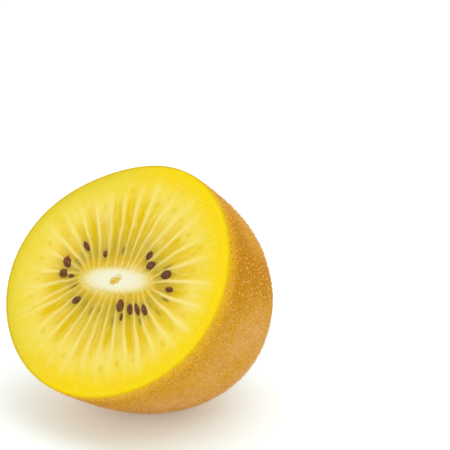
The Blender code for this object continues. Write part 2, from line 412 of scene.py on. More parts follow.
# Mapping turns the pattern so that its Z runs along the fruit, and stretches it round the girth
ROUND_SCALE = 0.8 / MM
ALONG_SCALE = 1.4 / MM
FIBRE_SCALE = 3.8
pattern_scale = (ROUND_SCALE, ROUND_SCALE, ALONG_SCALE)
in_mm = {"Vector": object_place, "Rotation": (-LEAN, 0, 0), "Scale": pattern_scale}
along_fruit = add(tree, "ShaderNodeMapping", in_mm)
fibres = {"Scale": FIBRE_SCALE, "Detail": 4.0, "Roughness": 0.65, "Distortion": 0.6}
fibres = add(tree, "ShaderNodeTexNoise", {"Vector": along_fruit, **fibres}).outputs["Fac"]
mottle = {"Scale": 0.55, "Detail": 3.0, "Roughness": 0.55}
mottle = add(tree, "ShaderNodeTexNoise", {"Vector": along_fruit, **mottle}).outputs["Fac"]
# Each noise is turned from 0..1 to -0.5..0.5, and then some of it is added to the mark
tan_share = furry_mark
for pattern, strength in ((mottle, 0.8), (fibres, 1.3)):
    uneven = add(tree, "ShaderNodeMath", {0: pattern, 1: -0.5}, operation="ADD")
    added = {0: uneven, 1: strength, 2: tan_share}
    tan_share = add(tree, "ShaderNodeMath", added, operation="MULTIPLY_ADD")
colour = set_stops(
    add(tree, "ShaderNodeValToRGB", {"Fac": tan_share}),
    (0.0, "#be7e00"),
    (0.3, "#cc8e00"),
    (0.5, "#d69a10"),
    (0.75, "#da9e40"),
    (1.0, "#e4aa6c"),
)
print("the fibres are", round(1000 / (FIBRE_SCALE * ROUND_SCALE), 2), "mm across")

# %% Skin finish: the painted glow at the cut
cut_mark = add(tree, "ShaderNodeAttribute", attribute_name="from_cut").outputs["Fac"]
upper_mark = add(tree, "ShaderNodeAttribute", attribute_name="upper").outputs["Fac"]
# Painted glow: light coming through the flesh is painted into the colour as a bright band near the cut
painted_glow = {"Value": cut_mark, "From Min": 0.2, "From Max": 5.0, "To Min": 0.90, "To Max": 0.0}
painted_glow = add(tree, "ShaderNodeMapRange", painted_glow, interpolation_type="SMOOTHSTEP")
# Along the top of the rim the painted glow takes the green-gold of the flesh
green = {"Value": cut_mark, "From Min": 0.3, "From Max": 1.2, "To Min": 0.9, "To Max": 0.0}
green = add(tree, "ShaderNodeMapRange", green)
painted_glow_colour = lay_coats(tree, hex_colour("#eeb408"), (green, upper_mark, "#d8c010"))
print("the tree has", len(tree.nodes), "nodes so far")

# %% Skin finish: lying hairs, the edge and the coats
lying_hairs = {"Scale": 3.0, "Detail": 2.0, "Roughness": 0.6, "Distortion": 0.8}
lying_hairs = {"Vector": along_fruit, **lying_hairs}
lying_hairs = add(tree, "ShaderNodeTexNoise", lying_hairs).outputs["Fac"]
pale_hairs = {"Value": lying_hairs, "From Min": 0.50, "From Max": 0.60, "To Max": 0.60}
pale_hairs = add(tree, "ShaderNodeMapRange", pale_hairs)
between = {"Value": lying_hairs, "From Min": 0.48, "From Max": 0.38, "To Max": 0.60}
between = add(tree, "ShaderNodeMapRange", between)
# The blade leaves a hair's breadth of green-gold flesh along the skin's edge
edge = {"Value": cut_mark, "From Min": 0.08, "From Max": 0.34, "To Min": 1.0, "To Max": 0.0}
edge = add(tree, "ShaderNodeMapRange", edge)
colour = lay_coats(
    tree,
    colour,
    # The painted glow of light through the flesh, near the cut
    (painted_glow, painted_glow_colour),
    (pale_hairs, furry_mark, "#ecb870"),
    (between, "#b67612"),
    (edge, "#ecc800"),
)
print("with its coats the tree has", len(tree.nodes), "nodes")

# %% Skin finish: bump, roughness and the shader
skin_bump = {"Height": fibres, "Distance": 0.09 * MM, "Strength": 0.7}
skin_rough = {"Value": tan_share, "From Min": 0.1, "From Max": 0.9, "To Min": 0.62, "To Max": 0.85}
skin_look = {
    "Base Color": colour,
    "Normal": add(tree, "ShaderNodeBump", skin_bump),
    "Roughness": add(tree, "ShaderNodeMapRange", skin_rough),
    "IOR": 1.45,
    "Specular IOR Level": 0.05,
}
wire(tree, shader, skin_look)
skin.data.materials.append(skin_finish)
print("skin finish uses", len(tree.nodes), "nodes")

# %% [markdown]
# ## Specks and hairs on the skin
#
# Thousands of corky pores stand out of the skin. Each is a speck half a millimetre across, longer
# along the fruit than across, and between them lie hairs of up to a millimetre. Placing them by hand
# is out of the question, and a bump map would leave the outline smooth. Geometry Nodes scatter them:
# points are spread over the skin no closer than a set spacing, one small low shape is put on each,
# turned and sized by a fixed draw, and the copies are made real.

# %% Make and run a tree that grows small shapes on a surface
def new_tree(name, *sockets):
    """An empty Geometry Nodes tree with named inputs, as the tree, its input sockets and its output."""
    made = bpy.data.node_groups.new(name, "GeometryNodeTree")
    made.interface.new_socket("Geometry", in_out="OUTPUT", socket_type="NodeSocketGeometry")
    made.interface.new_socket("Surface", in_out="INPUT", socket_type="NodeSocketGeometry")
    for label, kind in sockets:
        made.interface.new_socket(label, in_out="INPUT", socket_type="NodeSocket" + kind)
    given = add(made, "NodeGroupInput").outputs
    return made, given, add(made, "NodeGroupOutput")


def grow(source, name, node_tree, values):
    """Runs a tree on a copy of source and keeps the result as an object with a plain mesh."""
    helper = bpy.data.objects.new(name, source.data.copy())
    bpy.context.scene.collection.objects.link(helper)
    modifier = helper.modifiers.new(name, "NODES")
    modifier.node_group = node_tree
    for item in node_tree.interface.items_tree:
        if item.in_out == "INPUT" and item.name in values:
            modifier[item.identifier] = values[item.name]
    bpy.context.view_layer.update()
    evaluated = helper.evaluated_get(bpy.context.evaluated_depsgraph_get())
    mesh = bpy.data.meshes.new_from_object(evaluated)
    mesh.name = name
    helper.modifiers.clear()
    helper.data = mesh
    return helper


# %% How every tree ends
def keep_tone(tree, instances, seed):
    """Gives each copy a tone of its own, drawn from 0 to 1, for its material to read."""
    drawn = add(tree, "FunctionNodeRandomValue", {2: 0.0, 3: 1.0, "Seed": seed}).outputs[1]
    tone = {"Geometry": instances, "Name": "tone", "Value": drawn}
    return add(tree, "GeometryNodeStoreNamedAttribute", tone, data_type="FLOAT", domain="INSTANCE")


def finish_tree(tree, instances, given, result, rounded=True):
    """Makes the copies real, gives them their material and hands them to the tree's output."""
    made = add(tree, "GeometryNodeRealizeInstances", {"Geometry": instances})
    if rounded:
        made = add(tree, "GeometryNodeSetShadeSmooth", {"Geometry": made})
    made = add(tree, "GeometryNodeSetMaterial", {"Geometry": made, "Material": given["Finish"]})
    wire(tree, result, {"Geometry": made})
    print("the tree", tree.name, "has", len(tree.nodes), "nodes")


# %% A tree that scatters specks
scatter, given, result = new_tree(
    "scatter_on_skin",
    ("Spacing", "Float"),
    ("Length", "Float"),
    ("Width", "Float"),
    ("Height", "Float"),
    ("Seed", "Int"),
    ("Fruit axis", "Vector"),
    ("Finish", "Material"),
)
MOST_PER_SQUARE_METRE = 4e6
STRAY = 1.6
seeded = {"Seed": given["Seed"]}
specked_here = add(scatter, "GeometryNodeInputNamedAttribute", {"Name": "specked"})
furry_here = add(scatter, "GeometryNodeInputNamedAttribute", {"Name": "furry"})
spread = {
    "Mesh": given["Surface"],
    "Distance Min": given["Spacing"],
    "Density Max": MOST_PER_SQUARE_METRE,
    "Density Factor": specked_here,
    **seeded,
}
spread = add(scatter, "GeometryNodeDistributePointsOnFaces", spread, distribute_method="POISSON")
lengthwise = {"Rotation": spread.outputs["Rotation"], "Vector": given["Fruit axis"]}
lengthwise = add(scatter, "FunctionNodeAlignRotationToVector", lengthwise, axis="X", pivot_axis="Z")
stray = {"Min": (0, 0, -STRAY), "Max": (0, 0, STRAY), **seeded}
stray = add(scatter, "FunctionNodeRandomValue", stray, data_type="FLOAT_VECTOR")
strayed = {"Rotation": lengthwise, "Rotate By": stray}
strayed = add(scatter, "FunctionNodeRotateRotation", strayed, rotation_space="LOCAL")
print("specks stray up to", round(math.degrees(STRAY)), "degrees from the fruit's length")

# %% A tree that scatters specks: their sizes
full_size = {"X": given["Length"], "Y": given["Width"], "Z": given["Height"]}
full_size = add(scatter, "ShaderNodeCombineXYZ", full_size)
varied = {"Min": (0.25, 0.35, 0.4), "Max": (0.62, 0.6, 0.6), **seeded}
varied = add(scatter, "FunctionNodeRandomValue", varied, data_type="FLOAT_VECTOR")
# Specks stay smaller where the skin is furry
bigger = add(scatter, "ShaderNodeMath", {0: furry_here, 1: -0.5, 2: 1.15}, operation="MULTIPLY_ADD")
varied = add(scatter, "ShaderNodeVectorMath", {0: varied, "Scale": bigger}, operation="SCALE")
sized = add(scatter, "ShaderNodeVectorMath", {0: full_size, 1: varied}, operation="MULTIPLY")
pebble = add(scatter, "GeometryNodeMeshIcoSphere", {"Radius": 1.0, "Subdivisions": 1})
placed = {"Points": spread.outputs["Points"], "Instance": pebble, "Rotation": strayed, "Scale": sized}
placed = add(scatter, "GeometryNodeInstanceOnPoints", placed)
finish_tree(scatter, keep_tone(scatter, placed, given["Seed"]), given, result)

# %% [markdown]
# ### Finish: cork specks
#
# A pore is sealed with cork, a dry tan tissue with hardly a shine, IOR about 1.45 and roughness 0.7.
# Each speck keeps its own `tone`, which runs from the gold of the skin to a pale peach, so that some
# stand out and some only just show. In the fur they all turn as dull as it is.

# %% Scatter the specks
SPECK_SPACING = 0.86 * MM
SPECK_FACES = 20
speck_finish, tree, shader = new_material("cork_specks")
tone_mark = add(tree, "ShaderNodeAttribute", attribute_name="tone").outputs["Fac"]
furry_mark = add(tree, "ShaderNodeAttribute", attribute_name="furry").outputs["Fac"]
colour = add(tree, "ShaderNodeValToRGB", {"Fac": tone_mark})
colour = set_stops(colour, (0.0, "#c48400"), (0.5, "#e4a02c"), (1.0, "#f8b84e"))
colour = lay_coats(tree, colour, (furry_mark, 0.7, "#e6b270"))
speck_look = {"Base Color": colour, "Roughness": 0.7, "IOR": 1.45, "Specular IOR Level": 0.15}
wire(tree, shader, speck_look)

fruit_axis = tuple(FACE_NORMAL)
speck_sizes = {
    "Spacing": SPECK_SPACING,
    "Length": 0.64 * MM,
    "Width": 0.50 * MM,
    "Height": 0.20 * MM,
    "Seed": 4,
    "Fruit axis": fruit_axis,
    "Finish": speck_finish,
}
specks = grow(skin, "skin_specks", scatter, speck_sizes)
print("specks:", triangles(specks), "triangles, so", triangles(specks) // SPECK_FACES, "specks")

# %% [markdown]
# ### The fuzz
#
# The hairs of a golden kiwi fruit are short and soft and lie down. Each is a three-sided needle of
# four faces, half a millimetre to a millimetre long. A real hair is a fiftieth of a millimetre
# thick, too fine to show, so these are three times as thick at the root, and there are fewer of
# them. Where the skin is marked furry they grow closer.

# %% A tree for hairs
fuzz_tree, given, result = new_tree(
    "fuzz_on_skin",
    ("Hairs per square metre", "Float"),
    ("Length", "Float"),
    ("Thickness", "Float"),
    ("Seed", "Int"),
    ("Fruit axis", "Vector"),
    ("Finish", "Material"),
)
seeded = {"Seed": given["Seed"]}
grows_here = add(fuzz_tree, "GeometryNodeInputNamedAttribute", {"Name": "grows"})
furry_here = add(fuzz_tree, "GeometryNodeInputNamedAttribute", {"Name": "furry"})
dense = add(fuzz_tree, "ShaderNodeMath", {0: furry_here, 1: 0.90, 2: 0.10}, operation="MULTIPLY_ADD")
for factor in (grows_here, given["Hairs per square metre"]):
    dense = add(fuzz_tree, "ShaderNodeMath", {0: dense, 1: factor}, operation="MULTIPLY")
roots = {"Mesh": given["Surface"], "Density": dense, **seeded}
roots = add(fuzz_tree, "GeometryNodeDistributePointsOnFaces", roots)
combed = {"Rotation": roots.outputs["Rotation"], "Vector": given["Fruit axis"]}
lying = add(fuzz_tree, "FunctionNodeAlignRotationToVector", combed, axis="X", pivot_axis="Z")
# Each hair swirls about its root, and then lies down by an angle between these two
LEAST_DOWN, MOST_DOWN = 0.75, 1.35
swirl = {"Min": (0, 0, 0.9), "Max": (0, 0, 5.4), **seeded}
lie_down = {"Min": (0, LEAST_DOWN, 0), "Max": (0, MOST_DOWN, 0), **seeded}
for limits in (swirl, lie_down):
    extra = add(fuzz_tree, "FunctionNodeRandomValue", limits, data_type="FLOAT_VECTOR")
    turned_by = {"Rotation": lying, "Rotate By": extra}
    lying = add(fuzz_tree, "FunctionNodeRotateRotation", turned_by, rotation_space="LOCAL")
print("hairs lie down by at least", round(math.degrees(LEAST_DOWN)), "degrees")

# %% A tree for hairs: the needles
needle = {"Vertices": 3, "Radius Top": 0.0}
needle.update({"Radius Bottom": given["Thickness"], "Depth": given["Length"]})
needle = add(fuzz_tree, "GeometryNodeMeshCone", needle).outputs["Mesh"]
long_or_short = add(fuzz_tree, "FunctionNodeRandomValue", {2: 0.5, 3: 1.0, **seeded}).outputs[1]
stood = {"Points": roots.outputs["Points"], "Instance": needle}
stood.update({"Rotation": lying, "Scale": long_or_short})
stood = add(fuzz_tree, "GeometryNodeInstanceOnPoints", stood)
finish_tree(fuzz_tree, keep_tone(fuzz_tree, stood, given["Seed"]), given, result, rounded=False)

# %% [markdown]
# ### Finish: kiwi fruit hair
#
# A hair is dead, hollow and dry: IOR 1.55 like any plant fibre, roughness 0.6, and a weak shine. Seen
# one by one they run from brown to pale straw, so each gets a tone of its own.

# %% Grow the fuzz
HAIR_FACES = 4
fuzz_finish, tree, shader = new_material("kiwi_fruit_hair")
tone_mark = add(tree, "ShaderNodeAttribute", attribute_name="tone").outputs["Fac"]
colour = add(tree, "ShaderNodeValToRGB", {"Fac": tone_mark})
colour = set_stops(colour, (0.0, "#b47c28"), (0.5, "#deac60"), (1.0, "#fcd898"))
hair_look = {"Base Color": colour, "Roughness": 0.6, "IOR": 1.55, "Specular IOR Level": 0.2}
wire(tree, shader, hair_look)
fuzz_sizes = {
    "Hairs per square metre": 4.2e6,
    "Length": 0.95 * MM,
    "Thickness": 0.035 * MM,
    "Seed": 9,
    "Fruit axis": fruit_axis,
    "Finish": fuzz_finish,
}
fuzz = grow(skin, "skin_fuzz", fuzz_tree, fuzz_sizes)
print("fuzz:", triangles(fuzz), "triangles, so", triangles(fuzz) // HAIR_FACES, "hairs")

# %% [markdown]
# ### Nibs along the rim
#
# A knife tears the skin a little, and tiny scraps of it and of its hairs stand along the rim. They
# are a job for the same tree: a narrow band of the skin right at the cut is its ground, and the
# needles are made shorter, stouter and paler.

# %% Grow the nibs
band_rows = outside[:3]
band = np.arange(2 * SKIN_COLUMNS).reshape(2, SKIN_COLUMNS)
band_next = np.roll(band, -1, axis=1)
band_faces = np.stack((band, band + SKIN_COLUMNS, band_next + SKIN_COLUMNS, band_next), -1)
band_points = on_table(band_rows.reshape(-1, 3))
band_mesh = bpy.data.meshes.new("rim_band")
band_mesh.from_pydata(band_points.tolist(), [], band_faces.reshape(-1, 4).tolist())
rim_band = bpy.data.objects.new("rim_band", band_mesh)
torn = smooth(wavy(band_rows.reshape(-1, 3), 5 * MM, 44), -0.2, 0.6)
store(rim_band, "grows", torn)
store(rim_band, "furry", torn)
nib_finish, tree, shader = new_material("torn_skin_nibs")
wire(tree, shader, {"Base Color": hex_colour("#f0e2a0"), "Roughness": 0.6, "IOR": 1.45})
nib_sizes = {
    "Hairs per square metre": 3.5e6,
    "Length": 0.42 * MM,
    "Thickness": 0.05 * MM,
    "Seed": 21,
    "Fruit axis": fruit_axis,
    "Finish": nib_finish,
}
nibs = grow(rim_band, "rim_nibs", fuzz_tree, nib_sizes)
bpy.data.objects.remove(rim_band)
print("nibs:", triangles(nibs), "triangles, so", triangles(nibs) // HAIR_FACES, "nibs")

# %% [markdown]
# ## The pattern of the cut
#
# Cut across, the fruit shows a flat pale core, and round it a ring of narrow seed chambers with
# walls between. The walls leave the core squarely all round it and then fan out, like the field
# lines of a flat magnet. Ellipses that share the core's two focus points cross such lines squarely,
# so those two families of curves are the natural way to measure on the cut: `spoke` says which line
# a point is on, and `share` how far along it, from 0 at the core to 1 where the chambers end.

# %% Lines and ellipses round the core
CORE_LONG = 9.4 * MM
CORE_SHORT = 2.9 * MM
CORE_TURN = math.radians(7)
CORE_DEPTH = 30 * MM
CHAMBERS = 32
CHAMBER_REACH = 0.78
FOCUS = math.sqrt(CORE_LONG**2 - CORE_SHORT**2)
CORE_EDGE = math.asinh(CORE_SHORT / FOCUS)
CHAMBER_END = math.asinh(CHAMBER_REACH * MEAN_RADIUS / FOCUS)


def turned(x, y, z=0.0):
    """Points given along and across the core, in the frame of the cut."""
    cosine, sine = math.cos(CORE_TURN), math.sin(CORE_TURN)
    return np.stack(np.broadcast_arrays(x * cosine - y * sine, x * sine + y * cosine, z), -1)


def face_points(spoke, share):
    """The points of the cut with this spoke and share."""
    out = CORE_EDGE + share * (CHAMBER_END - CORE_EDGE)
    return turned(FOCUS * np.cosh(out) * np.cos(spoke), FOCUS * np.sinh(out) * np.sin(spoke))


def wall_spoke(place):
    """The spoke of a chamber wall. A place between two whole numbers lies inside a chamber."""
    even = math.radians(8) + math.tau * place / CHAMBERS
    one_side = math.radians(5) * np.sin(even - math.radians(55))
    return even + one_side + math.radians(3.5) * np.sin(2 * even)


middles = face_points(wall_spoke(np.arange(CHAMBERS + 1)), 0.5)
gaps = np.linalg.norm(np.diff(middles, axis=0), axis=1) / MM
print("halfway out, a chamber is", gaps.min().round(1), "to", gaps.max().round(1), "mm wide")

# %% [markdown]
# ### Where the walls run
#
# No fruit spaces its walls evenly. Each wall here has three numbers, which say how far it strays
# from its even place at the core, halfway out and at its end, as a share of a chamber, and a fourth
# for how boldly it shows. A random draw could set them, but one narrow chamber beside two wide ones
# is what makes a cut look grown. A fine waver is added by draw.

# %% The table of walls
WALLS = (
    (0.33, 0.22, 0.04, 1.0),
    (0.44, 0.34, 0.27, 0.7),
    (0.50, 0.39, 0.31, 0.7),
    (0.72, 0.40, 0.37, 0.65),
    (0.80, 0.42, 0.16, 0.5),
    (0.42, 0.30, 0.20, 0.55),
    (0.02, 0.17, 0.27, 0.8),
    (-0.10, 0.07, 0.22, 0.55),
    (-0.09, 0.02, 0.14, 0.6),
    (0.01, 0.05, 0.04, 0.65),
    (0.33, 0.17, 0.06, 0.8),
    (0.18, 0.15, 0.01, 0.5),
    (0.00, 0.03, -0.07, 0.6),
    (-0.12, -0.04, -0.12, 0.8),
    (-0.07, -0.15, -0.08, 0.5),
    (-0.42, -0.07, -0.02, 0.6),
    (-0.24, -0.15, 0.05, 0.75),
    (-0.38, -0.30, 0.10, 0.25),
    (-0.74, -0.60, -0.58, 0.35),
    (-0.64, -0.61, -0.44, 0.45),
    (-0.34, -0.44, -0.46, 0.45),
    (-0.08, -0.30, -0.24, 0.45),
    (0.03, -0.04, -0.10, 0.65),
    (-0.10, -0.07, 0.12, 0.5),
    (-0.08, 0.02, 0.17, 0.5),
    (-0.11, 0.12, 0.16, 0.65),
    (0.04, 0.14, 0.26, 0.6),
    (0.27, 0.24, 0.04, 0.65),
    (-0.04, -0.02, 0.00, 0.45),
    (-0.22, -0.14, -0.06, 0.85),
    (-0.18, -0.06, -0.13, 0.95),
    (-0.12, -0.16, -0.03, 1.0),
)
WALL_DRAW = np.random.default_rng(11)
at_core, halfway, at_end, bold = np.array(WALLS).T
waver = WALL_DRAW.uniform(0.010, 0.035, CHAMBERS)
waver_start = WALL_DRAW.uniform(0, math.tau, CHAMBERS)
# The shares that the three strays stand for, and how tightly the fine waver winds
STRAYS_AT = (0.08, 0.50, 0.95)
WAVERS = 17


def wall_strays(share):
    """How far each wall is from its even place at each share: a row for each share."""
    t = np.clip(np.asarray(share, float), 0, 1)[:, None]
    # One parabola through the three strays of each wall
    a, b, c = STRAYS_AT
    bend = at_core * (t - b) * (t - c) / ((a - b) * (a - c))
    bend = bend + halfway * (t - a) * (t - c) / ((b - a) * (b - c))
    bend = bend + at_end * (t - a) * (t - b) / ((c - a) * (c - b))
    return bend + waver * np.sin(waver_start + WAVERS * t)


print("walls stray by up to", np.abs(wall_strays(np.linspace(0, 1, 20))).max().round(2), "of a chamber")

# %% [markdown]
# ## The flesh
#
# The flesh is one closed body that fills the skin and leaves a pocket for the core. Only its cut
# face shows, so nearly all its faces are there. Its columns run along the walls and crowd together
# beside them, so a wall is always a whole line of points and never a row of steps.

# %% Columns and rows of the cut face
COLUMNS_PER_CHAMBER = 18
FLESH_COLUMNS = CHAMBERS * COLUMNS_PER_CHAMBER
ROWS_IN_CHAMBERS = 76
ROWS_TO_RIM = 30
CROWDING = 0.45

even_phase = np.arange(FLESH_COLUMNS) / COLUMNS_PER_CHAMBER
chamber = even_phase.astype(int)
even_phase = even_phase - chamber
phase = even_phase - CROWDING * np.sin(math.tau * even_phase) / math.tau
next_wall = (chamber + 1) % CHAMBERS


def places(share):
    """The place of each column at each share: rows by columns."""
    strays = wall_strays(share)
    return chamber + phase + strays[:, chamber] * (1 - phase) + strays[:, next_wall] * phase


def rim_share(spoke):
    """The share at which a spoke reaches the inside of the skin, found by halving the range."""
    low, high = np.full_like(spoke, 0.8), np.full_like(spoke, 1.8)
    for _ in range(30):
        middle = (low + high) / 2
        point = face_points(spoke, middle)
        limit = section_radius(np.arctan2(point[:, 1], point[:, 0])) - SKIN_AT_CUT
        inside_skin = np.hypot(point[:, 0], point[:, 1]) < limit
        low, high = np.where(inside_skin, middle, low), np.where(inside_skin, high, middle)
    return low


inner = np.linspace(0, 1, ROWS_IN_CHAMBERS, endpoint=False)
outer_place = places([1.0])
rim = rim_share(wall_spoke(outer_place[0]))
to_rim = np.linspace(0, 1, ROWS_TO_RIM)[:, None]
share = np.concatenate((np.repeat(inner[:, None], FLESH_COLUMNS, 1), 1 + to_rim * (rim - 1)))
spoke = wall_spoke(np.concatenate((places(inner), np.repeat(outer_place, ROWS_TO_RIM, 0))))
face = face_points(spoke, share)
print("the cut face has", share.size, "points")

# %% Distances on the cut, in millimetres
wall_columns = np.arange(CHAMBERS) * COLUMNS_PER_CHAMBER
wall_lines = face[:, wall_columns]
widths = np.linalg.norm(np.roll(wall_lines, -1, axis=1) - wall_lines, axis=-1) / MM
width = widths[:, chamber]
from_wall = np.minimum(phase, 1 - phase) * width
angle_here = np.arctan2(face[..., 1], face[..., 0])
from_rim = (section_radius(angle_here) - np.hypot(face[..., 0], face[..., 1])) / MM
half_out = widths[ROWS_IN_CHAMBERS // 2]
print("with strays, chambers are", half_out.min().round(1), "to", half_out.max().round(1), "mm wide")

# %% [markdown]
# ### Walls and jelly
#
# A wall is a pale line a third of a millimetre wide on a soft foot. It is faint at the core, boldest
# past the middle, and where the chambers end it spreads and dies away. Between walls lies the jelly,
# a deep clear gold that thins outwards, and each chamber ends in a yellow dot: the bundle of veins
# that feeds its seeds. Each of these is a soft bell curve on distances that are already known.

# %% How much wall
nearest = np.where(phase < 0.5, chamber, next_wall)
wall_end = WALL_DRAW.uniform(1.04, 1.26, CHAMBERS)[nearest]
strength = bold[nearest] * (0.52 + 0.48 * smooth(share, 0.05, 0.60))
crest = bell(from_wall, 0.15 + 0.09 * share)
foot = bell(from_wall, 0.22 + 0.34 * share + 0.34 * smooth(share, 0.8, 1.1))
wall = strength * (0.28 * crest + 0.66 * foot) * (1 - smooth(share, wall_end - 0.30, wall_end))
wall = wall * smooth(from_rim, 1.5, 5.0)
print("walls cover", round(100 * (wall > 0.3).mean()), "% of the face's points")

# %% How much jelly, and the dots
jelly_end = WALL_DRAW.uniform(0.88, 1.06, CHAMBERS)[chamber]
jelly_depth = WALL_DRAW.uniform(0.68, 1.25, CHAMBERS)[chamber]
spreading = smooth(share, 0.55, 1.0)
across = smooth(from_wall, 0.06 + 0.20 * spreading, 0.42 + 0.50 * spreading)
jelly = jelly_depth * across * smooth(share, -0.02, 0.04) * (1 - 0.20 * smooth(share, 0.60, 0.90))
jelly = jelly * (1 - smooth(share, jelly_end - 0.20, jelly_end + 0.02))

# A unit of share measures about 25 mm out there: counted as 17, it makes a dot longer than wide
DOT_SHARE_MM = 17
dot_share = WALL_DRAW.uniform(0.80, 0.97, CHAMBERS)[chamber]
dot_phase = WALL_DRAW.uniform(0.38, 0.62, CHAMBERS)[chamber]
dot_size = WALL_DRAW.uniform(0.30, 0.55, CHAMBERS)[chamber]
dots = bell(np.hypot((share - dot_share) * DOT_SHARE_MM, (phase - dot_phase) * width), dot_size)
print("jelly covers", round(100 * (jelly > 0.4).mean()), "% of the face's points")

# %% [markdown]
# ### Seeds
#
# Each chamber holds many seeds, and the knife bares about one in every second chamber. A seed is a
# flat drop about 2.4 mm long, its point towards the core. They are listed one by one, because the eye
# knows this ring of seeds at once. Some lie under the jelly and only darken it: those are colour.

# %% Where the seeds lie
# Place, share of the way out, half length and half width in millimetres, and lean in degrees
BARE_SEEDS = (
    (0.93, 0.437, 1.37, 1.03, -7),
    (3.10, 0.238, 1.17, 0.89, 142),
    (4.04, 0.343, 1.10, 0.73, 0),
    (9.51, 0.235, 1.06, 0.57, 10),
    (11.61, 0.499, 1.50, 0.61, 6),
    (13.97, 0.560, 1.48, 0.96, -30),
    (15.04, 0.541, 1.16, 1.01, -20),
    (15.30, 0.355, 0.92, 0.46, 2),
    (18.94, 0.366, 1.20, 0.80, -25),
    (25.46, 0.207, 1.44, 1.00, 7),
    (25.80, 0.390, 1.07, 0.46, -3),
    (26.83, 0.290, 1.39, 0.75, 6),
    (27.73, 0.335, 1.64, 0.65, 9),
    (28.48, 0.406, 1.46, 0.72, 0),
    (31.46, 0.543, 1.12, 0.65, 3),
)
# Place, share, half length and half width in millimetres, and how dark it makes the jelly
SUNK_SEEDS = (
    (1.60, 0.49, 1.05, 0.30, 0.90),
    (5.05, 0.50, 1.10, 0.60, 0.30),
    (7.29, 0.285, 0.80, 0.35, 0.85),
    (9.50, 0.12, 0.60, 0.40, 0.25),
    (12.35, 0.38, 1.10, 0.50, 0.30),
    (13.35, 0.37, 1.20, 0.60, 0.45),
    (14.30, 0.25, 1.20, 0.60, 0.20),
    (16.40, 0.30, 1.20, 0.60, 0.30),
    (17.00, 0.26, 1.00, 0.40, 0.55),
    (20.20, 0.33, 1.00, 0.50, 0.25),
    (21.50, 0.37, 0.90, 0.40, 0.40),
    (22.60, 0.31, 0.70, 0.35, 0.50),
    (24.80, 0.45, 1.10, 0.40, 0.40),
    (27.78, 0.54, 0.95, 0.30, 0.85),
    (29.45, 0.60, 1.40, 0.30, 0.40),
    (30.58, 0.56, 1.00, 0.30, 0.85),
)
seed_lengths = [2 * row[2] for row in BARE_SEEDS]
print("bare seeds are", min(seed_lengths), "to", max(seed_lengths), "mm long")

# %% What the seeds do to the flesh round them
def seed_frame(place, out):
    """A seed's middle and the way along its spoke, on the cut."""
    line = wall_spoke(place)
    middle = face_points(line, out)
    outwards = face_points(line, out + 0.01) - middle
    return middle, outwards / np.linalg.norm(outwards)


def leant(way, degrees):
    """A way on the cut, turned by this many degrees."""
    lean = math.radians(degrees)
    return way * math.cos(lean) + np.cross((0, 0, 1), way) * math.sin(lean)


def near_seed(place, out, long, wide, lean=0):
    """How near each point of the face is to a seed: below 1 is under it."""
    middle, outwards = seed_frame(place, out)
    outwards = leant(outwards, lean)
    away = (face - middle) / MM
    return np.hypot(away @ outwards / long, away @ np.cross((0, 0, 1), outwards) / wide)


shade = np.zeros_like(share)
lip = np.zeros_like(share)
for place, out, long, wide, lean in BARE_SEEDS:
    near = near_seed(place, out, long, wide, lean)
    lip = np.maximum(lip, bell(near - 1.05, 0.30))
    shade = np.maximum(shade, 0.45 * bell(near, 1.5))
for place, out, long, wide, dark in SUNK_SEEDS:
    near = near_seed(place, out, long, wide)
    shade = np.maximum(shade, dark * (1 - smooth(near, 0.5, 1.6)))
print(len(BARE_SEEDS), "seeds lie bare and", len(SUNK_SEEDS), "under the jelly")

# %% [markdown]
# ### Relief of the cut
#
# A knife leaves a kiwi fruit nearly flat, but not quite. The walls are firm and stay a little proud.
# The jelly sinks between them, and it is pulled up round each seed. The outer flesh keeps a fine
# grain of cells, and at the rim the blade turned the edge down a little. All of it is a tenth of a
# millimetre or two, just enough to catch the light.

# %% Raise the relief
# All heights are in millimetres until the last line
flat_face = face.reshape(-1, 3)
cells = wavy(flat_face, 0.45 * MM).reshape(share.shape)
swells = wavy(flat_face, 2.5 * MM, 31).reshape(share.shape)
height = 0.09 * wall - 0.13 * jelly + 0.08 * lip * across + 0.03 * swells
height += 0.018 * cells * (1 - 0.5 * jelly)
height *= smooth(share, 0.0, 0.03)
rim_start = SKIN_AT_CUT / MM
rim_drop = 0.08 * (1 - smooth(from_rim, rim_start, rim_start + 0.35))
height = height * smooth(from_rim, rim_start, rim_start + 0.4) - rim_drop
face[..., 2] = height * MM
print("the relief runs from", height.min().round(2), "to", height.max().round(2), "mm")

# %% Add the pocket and the side, and close the body
UNDER_SKIN = 0.02 * MM
SIDE_ROWS = 14
POCKET_ROWS = 6


def core_rings(lines, rows, room):
    """Rings of the core from the cut down, with this much room left all round it."""
    down = np.sin(math.pi / 2 * np.arange(rows) / rows)[:, None]
    wide = (1 - down**2.2) ** (1 / 2.2)
    x = (CORE_LONG * wide + room) * np.cos(lines)
    y = (CORE_SHORT * wide + room) * np.sin(lines)
    return turned(x, y, -down * (CORE_DEPTH + room))


pocket = core_rings(spoke[0], POCKET_ROWS, 0.0)[1:]
ends = face[-1]
end_turns = np.unwrap(np.arctan2(ends[:, 1], ends[:, 0]))
side_grid = np.meshgrid(end_turns, even_lifts(SIDE_ROWS))
side, _ = side_rings(*side_grid, SKIN_AT_CUT + UNDER_SKIN, SKIN_INSIDE + UNDER_SKIN)
pocket_tip = turned(0.0, 0.0, -CORE_DEPTH)
side_tip = outer_tip + np.array((0, 0, SKIN_INSIDE + UNDER_SKIN))
flesh = closed_body("fruit_flesh", pocket_tip, np.concatenate((pocket[::-1], face, side[1:])), side_tip)
print("flesh:", triangles(flesh), "triangles")
